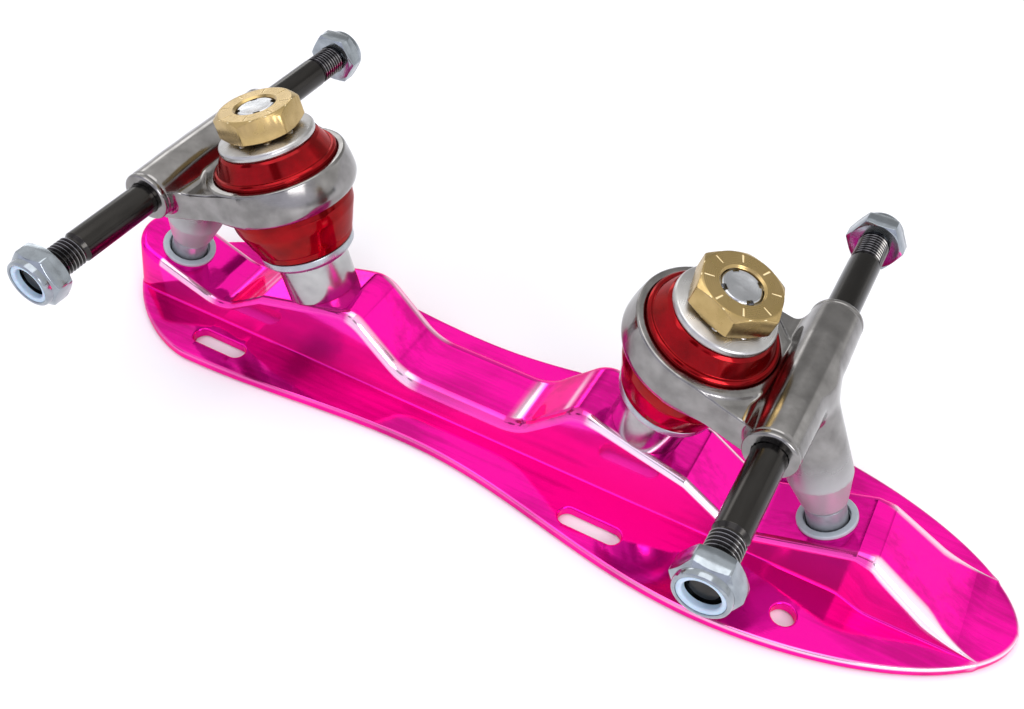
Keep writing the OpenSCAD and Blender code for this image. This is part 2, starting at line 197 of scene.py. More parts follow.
def turned_about(place: Matrix, end: End) -> Matrix:
    """Frame whose Z is the axis of a round piece, without the mirror.

    Args:
        place: a frame in millimetres on the front truck.
        end: the truck that it belongs to.

    Returns:
        A frame with the same axis that a texture can be laid in.
    """
    spot = place.to_translation()
    axis = place.to_3x3() @ Vector((0, 0, 1))
    spot.x *= end.value
    axis.x *= end.value
    turn = Vector((0, 0, 1)).rotation_difference(axis).to_matrix().to_4x4()
    return Matrix.Translation(spot) @ turn


# Shapes

def quarter_turn(steps: int) -> list[float]:
    """Angles of a quarter turn in even steps, in radians."""
    return [math.radians(90 * k / steps) for k in range(steps + 1)]


def filleted(corners: Sequence[Corner], closed: bool, steps: int = 5) -> list[Point]:
    """Rounds the corners of an outline.

    Args:
        corners: place and rounding radius of each corner, in order.
        closed: whether the last corner joins the first.
        steps: flat pieces that make up each rounded corner.

    Returns:
        The points of the rounded outline.
    """
    points: list[Point] = []
    count = len(corners)
    for i, (x, y, radius) in enumerate(corners):
        here = np.array((x, y))
        is_end = not closed and i in (0, count - 1)
        if radius <= 0 or is_end:
            points.append((x, y))
            continue
        before = np.array(corners[i - 1][:2]) - here
        after = np.array(corners[(i + 1) % count][:2]) - here
        before = before / np.linalg.norm(before)
        after = after / np.linalg.norm(after)
        half = math.acos(float(np.clip(before @ after, -1, 1))) / 2
        centre = here + (before + after) / np.linalg.norm(before + after) * radius / math.sin(half)
        first = here + before * radius / math.tan(half) - centre
        last = here + after * radius / math.tan(half) - centre
        start = math.atan2(first[1], first[0])
        sweep = (math.atan2(last[1], last[0]) - start + math.pi) % math.tau - math.pi
        for k in range(steps + 1):
            angle = start + sweep * k / steps
            points.append((centre[0] + radius * math.cos(angle), centre[1] + radius * math.sin(angle)))
    return points


def polar_mesh(
    name: str, rows: Callable[[float], list[Point]], angles: Sequence[float], closed: bool
) -> Mesh:
    """Makes a piece from its section at every angle about Z.

    Args:
        name: name of the mesh.
        rows: gives the section at an angle, as points of radius and height, always as many.
        angles: the angles, in radians, all round.
        closed: whether the section is a closed loop, as on a ring.

    Returns:
        The closed mesh, in millimetres.
    """
    sections = [rows(angle) for angle in angles]
    count, size = len(angles), len(sections[0])
    vertices = [
        (r * math.cos(a), r * math.sin(a), z) for a, section in zip(angles, sections) for r, z in section
    ]
    faces = []
    for i in range(count):
        a, b = i * size, (i + 1) % count * size
        for j in range(size if closed else size - 1):
            k = (j + 1) % size
            faces.append((a + j, b + j, b + k, a + k))
    return welded(name, vertices, faces)


def welded(name: str, vertices: Sequence[Sequence[float]], faces: Sequence[Sequence[int]]) -> Mesh:
    """Makes a closed mesh, with doubled points merged and all faces turned outward.

    Args:
        name: name of the mesh.
        vertices: the points.
        faces: the points of each face.

    Returns:
        The mesh.
    """
    mesh = bpy.data.meshes.new(name)
    mesh.from_pydata(vertices, [], faces)
    work = bmesh.new()
    work.from_mesh(mesh)
    bmesh.ops.remove_doubles(work, verts=work.verts, dist=WELD_MM)
    bmesh.ops.dissolve_degenerate(work, edges=work.edges, dist=SLIVER_MM)
    bmesh.ops.recalc_face_normals(work, faces=work.faces)
    work.to_mesh(mesh)
    work.free()
    return mesh


def even_angles(count: int, *marks: float) -> list[float]:
    """Angles all round, with extra ones where something starts or ends.

    Args:
        count: how many even angles.
        marks: extra angles, in degrees.

    Returns:
        The angles in radians, in order.
    """
    even = [360 * i / count for i in range(count)]
    whole = sorted(set(round(a % 360, 4) for a in (*even, *marks)))
    return [math.radians(a) for a in whole]


def turned(
    name: str, corners: Sequence[Corner], closed: bool = True, segments: int = ROUND_STEPS
) -> Mesh:
    """Turns a section about Z from its corners' radius, height and rounding, closed as on a ring or not."""
    section = filleted(corners, closed)
    return polar_mesh(name, lambda angle: section, even_angles(segments), closed)


def hexagon_radius(angle: float, flats: float, turn: float) -> float:
    """Radius of a hexagon with slightly rounded corners.

    Args:
        angle: the angle, in radians.
        flats: size across the flats.
        turn: angle of one corner, in degrees.

    Returns:
        The radius at that angle.
    """
    total = 0.0
    for k in range(6):
        toward = math.cos(angle - math.radians(turn + 30 + 60 * k))
        total += max(0.0, toward) ** HEX_CRISPNESS
    return flats / 2 / total ** (1 / HEX_CRISPNESS)


def placed(mesh: Mesh, place: Matrix) -> Mesh:
    """Moves a mesh to its place, right way out even where the place is mirrored.

    Args:
        mesh: the mesh.
        place: the frame that it goes to.

    Returns:
        The same mesh.
    """
    mesh.transform(place)
    if place.determinant() < 0:
        mesh.flip_normals()
    return mesh


def joined(name: str, meshes: Sequence[Mesh]) -> Mesh:
    """Puts several meshes into one.

    Args:
        name: name of the new mesh.
        meshes: the meshes, which are used up.

    Returns:
        The one mesh.
    """
    work = bmesh.new()
    for mesh in meshes:
        work.from_mesh(mesh)
        bpy.data.meshes.remove(mesh)
    whole = bpy.data.meshes.new(name)
    work.to_mesh(whole)
    work.free()
    return whole


def evaluated(obj: Object, name: str) -> Mesh:
    """Turns an object with modifiers into a plain mesh and removes the object.

    Args:
        obj: the object.
        name: name of the new mesh.

    Returns:
        The mesh that the modifiers make.
    """
    depsgraph = bpy.context.evaluated_depsgraph_get()
    mesh = bpy.data.meshes.new_from_object(obj.evaluated_get(depsgraph))
    mesh.name = name
    bpy.data.objects.remove(obj)
    return mesh


def scene_object(name: str, mesh: Mesh) -> Object:
    """Puts a mesh into the scene as an object at the origin.

    Args:
        name: name of the object.
        mesh: its mesh.

    Returns:
        The object.
    """
    obj = bpy.data.objects.new(name, mesh)
    bpy.context.scene.collection.objects.link(obj)
    return obj


def smooth_shaded(mesh: Mesh, sharp_deg: float) -> None:
    """Shades a mesh smooth, apart from the edges that turn more than an angle."""
    mesh.polygons.foreach_set("use_smooth", [True] * len(mesh.polygons))
    mesh.set_sharp_from_angle(angle=math.radians(sharp_deg))


def mark_points(mesh: Mesh, mark: str, shares: Sequence[float]) -> None:
    """Stores a share from 0 to 1 at every point of a mesh, for its finish to read."""
    layer = mesh.attributes.new(mark, "FLOAT", "POINT")
    layer.data.foreach_set("value", shares)


def flat_faces_kept(mesh: Mesh, sharp_deg: float) -> Mesh:
    """Shades a mesh so that its wide flat faces stay flat beside their rounded edges.

    Args:
        mesh: the mesh, which is used up.
        sharp_deg: edges that turn more than this stay sharp.

    Returns:
        The mesh with its own corner normals.
    """
    smooth_shaded(mesh, sharp_deg)
    obj = scene_object(mesh.name, mesh)
    weighting = obj.modifiers.new("flat faces", "WEIGHTED_NORMAL")
    weighting.keep_sharp = True
    weighting.weight = 90
    return evaluated(obj, mesh.name)


# Finishes

class NodeSketch:
    """A node tree, with short ways to add and join nodes."""

    def __init__(self, tree: NodeTree) -> None:
        """Takes the tree that the nodes go into."""
        self.tree = tree

    def add(self, kind: str, **settings: Any) -> Node:
        """Adds a node.

        Args:
            kind: the node's type.
            settings: its properties, and its inputs where the name is an input's.

        Returns:
            The node.
        """
        node = self.tree.nodes.new(kind)
        for key, value in settings.items():
            label = key.replace("_", " ").title()
            if label in node.inputs:
                node.inputs[label].default_value = value
            else:
                setattr(node, key, value)
        return node

    def join(self, source: NodeSocket, target: NodeSocket) -> None:
        """Links one socket to another."""
        self.tree.links.new(source, target)

    def ranged(
        self, value: NodeSocket, low: float, high: float, start: float = 0.3, end: float = 0.7
    ) -> NodeSocket:
        """Spreads part of a value over a range.

        Args:
            value: the value, such as a cloudy one.
            low: the result up to the start.
            high: the result from the end on.
            start: where the part starts.
            end: where the part ends.

        Returns:
            The socket that holds the result.
        """
        spread = self.add("ShaderNodeMapRange", from_min=start, from_max=end, to_min=low, to_max=high)
        self.join(value, spread.inputs["Value"])
        return spread.outputs["Result"]

    def blended(self, value: NodeSocket, low: Colour | NodeSocket, high: Colour) -> NodeSocket:
        """Mixes two colours.

        Args:
            value: share of the second colour, from 0 to 1.
            low: the colour at 0, or the socket that holds it.
            high: the colour at 1.

        Returns:
            The socket that holds the mixed colour.
        """
        mix = self.add("ShaderNodeMix", data_type="RGBA")
        if isinstance(low, NodeSocket):
            self.join(low, mix.inputs[MIX_LOW])
        else:
            mix.inputs[MIX_LOW].default_value = (*low, 1)
        mix.inputs[MIX_HIGH].default_value = (*high, 1)
        self.join(value, mix.inputs["Factor"])
        return mix.outputs[MIX_RESULT]

    def summed(self, value: NodeSocket, share: float, base: NodeSocket) -> NodeSocket:
        """Adds a share of one value to another.

        Args:
            value: the value that is added.
            share: how much of it.
            base: the value that it is added to.

        Returns:
            The socket that holds the sum.
        """
        total = self.add("ShaderNodeMath", operation="MULTIPLY_ADD")
        total.inputs[1].default_value = share
        self.join(value, total.inputs[0])
        self.join(base, total.inputs[2])
        return total.outputs["Value"]


class ShaderSketch(NodeSketch):
    """A material's node tree, with the patterns that the finishes are made of."""

    def __init__(self, name: str) -> None:
        """Starts a material with one plain surface shader.

        Args:
            name: name of the material.
        """
        self.material = bpy.data.materials.new(name)
        self.material.use_nodes = True
        super().__init__(self.material.node_tree)
        self.surface = self.tree.nodes["Principled BSDF"]

    def coordinates(self, place: Matrix | None, stretch: Spot = (1, 1, 1)) -> NodeSocket:
        """Gives a point of the piece in millimetres.

        Args:
            place: frame to measure in, or nothing for the model's own.
            stretch: how much longer the pattern is along each axis.

        Returns:
            The socket that holds the point.
        """
        texture = self.add("ShaderNodeTexCoord")
        mapping = self.add("ShaderNodeMapping", scale=(1 / MM, 1 / MM, 1 / MM))
        self.join(texture.outputs["Object"], mapping.inputs["Vector"])
        if place is not None:
            back = place.inverted()
            mapping.inputs["Rotation"].default_value = back.to_euler()
            mapping.inputs["Location"].default_value = back.to_translation()
        pull = self.add("ShaderNodeVectorMath", operation="DIVIDE")
        pull.inputs[1].default_value = stretch
        self.join(mapping.outputs["Vector"], pull.inputs[0])
        return pull.outputs["Vector"]

    def noise(self, point: NodeSocket, size_mm: float, detail: float) -> NodeSocket:
        """Gives a cloudy value from 0 to 1.

        Args:
            point: where the pattern is looked up.
            size_mm: size of its patches.
            detail: how many finer layers it has.

        Returns:
            The socket that holds the value.
        """
        cloud = self.add("ShaderNodeTexNoise", scale=1 / size_mm, detail=detail)
        self.join(point, cloud.inputs["Vector"])
        return cloud.outputs["Fac"]

    def radius(self, point: NodeSocket) -> NodeSocket:
        """Gives the distance of a point from the Z axis.

        Args:
            point: the point.

        Returns:
            The socket that holds the distance.
        """
        flat = self.add("ShaderNodeVectorMath", operation="MULTIPLY")
        flat.inputs[1].default_value = (1, 1, 0)
        self.join(point, flat.inputs[0])
        length = self.add("ShaderNodeVectorMath", operation="LENGTH")
        self.join(flat.outputs["Vector"], length.inputs[0])
        return length.outputs["Value"]

    def rings(self, point: NodeSocket, pitch_mm: float) -> NodeSocket:
        """Gives concentric turning marks about Z.

        Args:
            point: where the marks are looked up.
            pitch_mm: distance from one mark to the next.

        Returns:
            The socket that holds a value from -1 to 1.
        """
        scaled = self.add("ShaderNodeMath", operation="MULTIPLY")
        scaled.inputs[1].default_value = math.tau / pitch_mm
        self.join(self.radius(point), scaled.inputs[0])
        wave = self.add("ShaderNodeMath", operation="SINE")
        self.join(scaled.outputs["Value"], wave.inputs[0])
        return wave.outputs["Value"]

    def bump(self, height: NodeSocket, depth_mm: float) -> None:
        """Adds fine relief on top of what the surface already has.

        Args:
            height: the relief's pattern.
            depth_mm: how deep it is.
        """
        relief = self.add("ShaderNodeBump", strength=1.0, distance=depth_mm * MM)
        self.join(height, relief.inputs["Height"])
        before = self.surface.inputs["Normal"].links
        if before:
            self.join(before[0].from_socket, relief.inputs["Normal"])
        self.join(relief.outputs["Normal"], self.surface.inputs["Normal"])


@dataclass(frozen=True)
class Metal:
    """A metal surface with patchy sheen, drawn scratches and turning marks.

    Where the mesh is marked, the wall and edge values take over from the plain ones: the wall colour is
    painted reflection, the edge colour is painted highlight, and edge_metallic and edge_rough make a satin
    where set.
    """

    name: str
    colour: Colour
    dull: Colour
    roughness: float
    roughness_spread: float
    patch_mm: float = 7.0
    patch_detail: float = 4.0
    patch_range: Point = (0.3, 0.7)
    stretch: Spot = (1.0, 1.0, 1.0)
    streak: float = 0.0
    streak_size: float = 1.4
    streak_detail: float = 2.0
    scratch_mm: float = 0.0
    scratch_size: float = 0.35
    scratch_detail: float = 3.0
    scratch_stretch: Spot = (1.0, 1.0, 1.0)
    wave_mm: float = 0.0
    wave_patches: float = 1.6
    turning_mm: float = 0.0
    turning_pitch: float = 0.35
    coat: float = 0.0
    coat_roughness: float = 0.04
    metallic: float = 1.0
    glance: Colour = (1.0, 1.0, 1.0)
    # Colour painted on the marked spine walls in place of the reflections they show
    wall: Colour | None = None
    # Colour painted on marked edges as a highlight
    edge: Colour | None = None
    edge_metallic: float | None = None
    edge_rough: float = 0.0
    # Lighter colour on a thread's crests, partly rubbed bare and partly painted highlight
    crest: Colour | None = None
    crest_mm: Point = (0.0, 1.0)

    def material(self, place: Matrix | None = None) -> Material:
        """Builds the material.

        Args:
            place: frame that the pattern is laid in, in millimetres.

        Returns:
            The material.
        """
        sketch = ShaderSketch(self.name)
        surface = sketch.surface
        surface.inputs["Metallic"].default_value = self.metallic
        surface.inputs["Coat Weight"].default_value = self.coat
        surface.inputs["Coat Roughness"].default_value = self.coat_roughness
        surface.inputs["Specular Tint"].default_value = (*self.glance, 1)
        point = sketch.coordinates(place, self.stretch)
        along = sketch.coordinates(place, self.scratch_stretch)
        patches = sketch.noise(point, self.patch_mm, self.patch_detail)
        tone = patches
        if self.streak:
            drawn = sketch.noise(along, self.streak_size, self.streak_detail)
            tone = sketch.summed(sketch.ranged(drawn, -0.5, 0.5, 0.0, 1.0), self.streak, patches)
        colour = sketch.blended(sketch.ranged(tone, 0.0, 1.0, *self.patch_range), self.dull, self.colour)
        low = self.roughness - self.roughness_spread
        high = self.roughness + self.roughness_spread
        rough = sketch.ranged(patches, high, low)
        # Painted reflection: the marked spine walls take the lighter, bluer wall pink
        if self.wall is not None:
            upright = sketch.add("ShaderNodeAttribute", attribute_name=WALL_PAINT_MARK).outputs["Fac"]
            colour = sketch.blended(upright, colour, self.wall)
        # Painted highlight: marked edges take the paler edge colour, and a satin where edge_metallic is set
        if self.edge is not None:
            mark = sketch.add("ShaderNodeAttribute", attribute_name=HIGHLIGHT_MARK).outputs["Fac"]
            colour = sketch.blended(mark, colour, self.edge)
            if self.edge_metallic is not None:
                satin = sketch.ranged(mark, self.metallic, self.edge_metallic, 0.0, 1.0)
                sketch.join(satin, surface.inputs["Metallic"])
            rough = sketch.summed(mark, self.edge_rough, rough)
        # Thread crests take the lighter crest colour: partly rubbed bare, partly painted highlight
        if self.crest is not None:
            height = sketch.ranged(sketch.radius(point), 0.0, 1.0, *self.crest_mm)
            colour = sketch.blended(height, colour, self.crest)
        sketch.join(colour, surface.inputs["Base Color"])
        sketch.join(rough, surface.inputs["Roughness"])
        if self.wave_mm:
            sketch.bump(sketch.noise(point, self.patch_mm * self.wave_patches, 0.0), self.wave_mm)
        if self.scratch_mm:
            sketch.bump(sketch.noise(along, self.scratch_size, self.scratch_detail), self.scratch_mm)
        if self.turning_mm:
            sketch.bump(sketch.rings(point, self.turning_pitch), self.turning_mm)
        return sketch.material


@dataclass(frozen=True)
class Plastic:
    """A moulded plastic or cast urethane with a soft clouded colour."""

    name: str
    colour: Colour
    dark: Colour
    roughness: float
    roughness_range: Point = (1.25, 0.8)
    patch_mm: float = 3.0
    patch_detail: float = 3.0
    grain_mm: float = 0.0
    grain_size: float = 0.4
    grain_detail: float = 2.0
    coat: float = 0.0
    coat_roughness: float = 0.05
    subsurface: float = 0.0
    subsurface_mm: float = 2.0
    metallic: float = 0.0
    glance: Colour = (1.0, 1.0, 1.0)

    def material(self, place: Matrix | None = None) -> Material:
        """Builds the material.

        Args:
            place: frame that the pattern is laid in, in millimetres.

        Returns:
            The material.
        """
        sketch = ShaderSketch(self.name)
        surface = sketch.surface
        surface.inputs["Metallic"].default_value = self.metallic
        surface.inputs["Coat Weight"].default_value = self.coat
        surface.inputs["Coat Roughness"].default_value = self.coat_roughness
        surface.inputs["Specular Tint"].default_value = (*self.glance, 1)
        surface.inputs["Subsurface Weight"].default_value = self.subsurface
        surface.inputs["Subsurface Scale"].default_value = self.subsurface_mm * MM
        point = sketch.coordinates(place)
        clouds = sketch.noise(point, self.patch_mm, self.patch_detail)
        depth = sketch.ranged(clouds, 0.0, 1.0)
        sketch.join(sketch.blended(depth, self.dark, self.colour), surface.inputs["Base Color"])
        high, low = (self.roughness * share for share in self.roughness_range)
        sketch.join(sketch.ranged(clouds, high, low), surface.inputs["Roughness"])
        if self.grain_mm:
            sketch.bump(sketch.noise(point, self.grain_size, self.grain_detail), self.grain_mm)
        return sketch.material


# Pink anodising: its wall colour is painted reflection on the spine walls, and its near-white edge colour
# is painted highlight on the marked edges, bends and toe rim
ANODISED = Metal(
    "pink anodised aluminium", (0.98, 0.003, 0.375), (0.6, 0.002, 0.225), 0.09, 0.03, metallic=0.8,
    patch_mm=16.0, patch_range=(0.34, 0.54), streak=0.3, stretch=(2.2, 1.0, 1.0),
    scratch_mm=0.004, scratch_stretch=(40.0, 1.0, 1.0), coat=0.1,
    glance=(1.0, 0.12, 0.42), wall=(1.0, 0.03, 0.52), edge=(1.0, 0.84, 0.93),
)
# The edge colour is a lighter satin at the arm's foot, rougher and less metallic, that also paints in a
# highlight there
CASTING = Metal(
    "polished cast aluminium", (0.31, 0.298, 0.29), (0.19, 0.182, 0.176), 0.17, 0.05,
    patch_mm=5.0, wave_mm=0.03, scratch_mm=0.006, scratch_stretch=(1.0, 14.0, 1.0),
    edge=(0.36, 0.358, 0.36), edge_metallic=0.4, edge_rough=0.2,
)
COLLAR_METAL = Metal(
    "polished collar", (0.48, 0.478, 0.47), (0.37, 0.368, 0.365), 0.18, 0.04,
    patch_mm=4.0, scratch_mm=0.005, scratch_stretch=(1.0, 1.0, 0.4),
)
CUP_ZINC = Metal(
    "zinc plated cup", (0.46, 0.49, 0.52), (0.36, 0.38, 0.41), 0.3, 0.06,
    patch_mm=2.0, scratch_mm=0.01,
)
SATIN_STEEL = Metal(
    "satin steel retainer", (0.54, 0.53, 0.52), (0.44, 0.43, 0.42), 0.3, 0.06,
    patch_mm=3.0, turning_mm=0.006,
)
BRASS = Metal(
    "turned brass", (0.5, 0.36, 0.16), (0.4, 0.285, 0.115), 0.24, 0.06,
    patch_mm=4.0, turning_mm=0.006, turning_pitch=0.5,
)
# Fresh-cut brass in the engraved marks, painted pale and rough as a highlight in place of the shade in the
# grooves
CUT_BRASS_HIGHLIGHT = Metal("cut brass", (0.95, 0.8, 0.48), (0.85, 0.68, 0.36), 0.5, 0.05, metallic=0.2)
STUD_STEEL = Metal(
    "turned kingpin steel", (0.56, 0.57, 0.59), (0.48, 0.49, 0.51), 0.2, 0.04,
    patch_mm=3.0, turning_mm=0.008,
)
PIN_STEEL = Metal(
    "grey pivot steel", (0.29, 0.3, 0.325), (0.21, 0.22, 0.24), 0.36, 0.06,
    metallic=0.4, patch_mm=2.0,
)
BLACK_OXIDE = Metal(
    "black oxide steel", (0.05, 0.047, 0.044), (0.03, 0.028, 0.026), 0.2, 0.05, patch_mm=4.0,
    stretch=(1.0, 1.0, 4.0), scratch_mm=0.006, scratch_stretch=(1.0, 1.0, 10.0),
)
# Black thread whose crests are lighter, partly rubbed bare and partly painted highlight
THREAD_CREST_WEAR_AND_HIGHLIGHT = Metal(
    "worn thread", (0.03, 0.028, 0.026), (0.02, 0.019, 0.018), 0.22, 0.04, patch_mm=2.0,
    crest=(0.3, 0.29, 0.28), crest_mm=(3.74, 3.86),
)
NUT_ZINC = Metal(
    "bright zinc", (0.36, 0.395, 0.43), (0.26, 0.285, 0.31), 0.15, 0.05,
    patch_mm=2.5, scratch_mm=0.004,
)
URETHANE = Plastic(
    "red urethane", (0.34, 0.001, 0.005), (0.17, 0.0005, 0.002), 0.13, patch_mm=6.0, coat=0.2, metallic=0.8,
    glance=(0.6, 0.03, 0.03),
)
CUP_PLASTIC = Plastic("grey pivot plastic", (0.42, 0.47, 0.5), (0.36, 0.4, 0.43), 0.4, grain_mm=0.01)
NYLON = Plastic("pale nylon", (0.5, 0.62, 0.74), (0.42, 0.53, 0.64), 0.35, subsurface=0.2)


# Repeated details

class GeometrySketch(NodeSketch):
    """A Geometry Nodes tree that makes a repeated detail from named sizes."""

    def __init__(self, name: str, sizes: Sequence[tuple[str, str]]) -> None:
        """Starts a tree.

        Args:
            name: name of the tree.
            sizes: name and socket type of each input.
        """
        super().__init__(bpy.data.node_groups.new(name, "GeometryNodeTree"))
        self.tree.interface.new_socket("Geometry", in_out="OUTPUT", socket_type="NodeSocketGeometry")
        self.identifiers = {
            label: self.tree.interface.new_socket(label, in_out="INPUT", socket_type=kind).identifier
            for label, kind in (*sizes, ("Finish", "NodeSocketMaterial"))
        }
        self.inputs = self.tree.nodes.new("NodeGroupInput").outputs

    def feed(self, node: Node, **sizes: str) -> None:
        """Joins the tree's inputs, by their labels, to a node's inputs, by their names in lower case."""
        for key, label in sizes.items():
            self.join(self.inputs[label], node.inputs[key.replace("_", " ").title()])

    def close(self, geometry: NodeSocket) -> None:
        """Ends the tree in real geometry with its finish.

        Args:
            geometry: what the tree has made.
        """
        real = self.add("GeometryNodeRealizeInstances")
        dressed = self.add("GeometryNodeSetMaterial")
        output = self.add("NodeGroupOutput")
        self.join(geometry, real.inputs["Geometry"])
        self.join(real.outputs["Geometry"], dressed.inputs["Geometry"])
        self.join(self.inputs["Finish"], dressed.inputs["Material"])
        self.join(dressed.outputs["Geometry"], output.inputs["Geometry"])

    def mesh(self, name: str, finish: Material, **sizes: float) -> Mesh:
        """Runs the tree.

        Args:
            name: name of the mesh.
            finish: the detail's material.
            sizes: value of each input, with its name in lower case.

        Returns:
            The detail as a plain mesh, in millimetres.
        """
        obj = scene_object(name, bpy.data.meshes.new(name))
        modifier = obj.modifiers.new(self.tree.name, "NODES")
        modifier.node_group = self.tree
        modifier[self.identifiers["Finish"]] = finish
        for key, value in sizes.items():
            modifier[self.identifiers[key.replace("_", " ").capitalize()]] = value
        return evaluated(obj, name)


@cache
def thread_tree() -> GeometrySketch:
    """Builds the tree of a screw thread.

    Returns:
        The tree, which winds the thread's ridge up Z from the origin.
    """
    sizes = [(label, "NodeSocketFloat") for label in ("Turns", "Radius", "Length", "Depth")]
    sketch = GeometrySketch("screw thread", sizes)
    spiral = sketch.add("GeometryNodeCurveSpiral", resolution=40)
    sketch.feed(spiral, rotations="Turns", start_radius="Radius", end_radius="Radius", height="Length")
    upright = sketch.add("GeometryNodeSetCurveNormal", mode="Z_UP")
    sketch.join(spiral.outputs["Curve"], upright.inputs["Curve"])
    ridge = sketch.add("GeometryNodeCurvePrimitiveCircle", mode="RADIUS", resolution=4)
    sketch.feed(ridge, radius="Depth")
    sweep = sketch.add("GeometryNodeCurveToMesh", fill_caps=True)
    sketch.join(upright.outputs["Curve"], sweep.inputs["Curve"])
    sketch.join(ridge.outputs["Curve"], sweep.inputs["Profile Curve"])
    sketch.close(sweep.outputs["Mesh"])
    return sketch


@cache
def dome_ring_tree() -> GeometrySketch:
    """Builds the tree of a ring of round domes.

    Returns:
        The tree, which sets the domes about Z.
    """
    number = "NodeSocketFloat"
    sizes = (("Count", "NodeSocketInt"), ("Ring radius", number), ("Dome radius", number))
    sketch = GeometrySketch("dome ring", sizes)
    ring = sketch.add("GeometryNodeMeshCircle")
    sketch.feed(ring, vertices="Count", radius="Ring radius")
    dome = sketch.add("GeometryNodeMeshUVSphere", segments=24, rings=14)
    sketch.feed(dome, radius="Dome radius")
    copies = sketch.add("GeometryNodeInstanceOnPoints")
    sketch.join(ring.outputs["Mesh"], copies.inputs["Points"])
    sketch.join(dome.outputs["Mesh"], copies.inputs["Instance"])
    sketch.close(copies.outputs["Instances"])
    return sketch


# Pieces

def add_piece(
    name: str, mesh: Mesh, finish: Material, body: str | None, node: str,
    sharp_deg: float = 40.0, second: Material | None = None,
) -> Object:
    """Puts a finished piece into the scene in place of a solid.

    Args:
        name: name of the piece.
        mesh: its mesh, in place.
        finish: its material.
        body: the moving body that it belongs to, or nothing where it bends between two.
        node: the solid that it stands for.
        sharp_deg: edges that turn more than this are sharp, or 0 where the mesh has its own shading.
        second: material of the faces that are numbered 1, where there are any.

    Returns:
        The piece.
    """
    if sharp_deg:
        smooth_shaded(mesh, sharp_deg)
    numbers = [face.material_index for face in mesh.polygons]
    mesh.materials.clear()
    mesh.materials.append(finish)
    if second is not None:
        mesh.materials.append(second)
        mesh.polygons.foreach_set("material_index", numbers)
    obj = scene_object(name, mesh)
    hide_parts(node)
    if body is not None:
        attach(obj, body)
    LOG.info("%s: %d faces, on %s", name, len(mesh.polygons), body or "two bodies")
    return obj


@dataclass(frozen=True)
class WornBend:
    """A line across the spine's top where a bend gets a painted highlight."""

    place: float
    width: float
    strength: float


@dataclass(frozen=True)
class EdgeWear:
    """Where the plate's edges, bends and toe rim get a painted highlight, and how much lighter pink is
    painted on its walls in place of their reflections.
    """

    slope_step: float = 1.5
    slopes: Point = (0.05, 0.3)
    slope_wear: Point = (0.06, 1.0)
    edge_places: Point = (-25.0, 20.0)
    edge_wear: Point = (0.65, 1.0)
    edge_gain: float = 1.3
    edge_power: float = 0.8
    least_r: float = 0.05
    bend_depth: float = 0.05
    bend_places: Point = (0.0, 9.0)
    bend_wear: Point = (1.0, 0.3)
    rim_step: float = 0.5
    rim_reach: float = 0.8
    rim_places: Point = (50.0, 120.0)
    rim_wear: Point = (0.15, 1.0)
    wall_skin: float = 0.7
    wall_light: float = 0.75


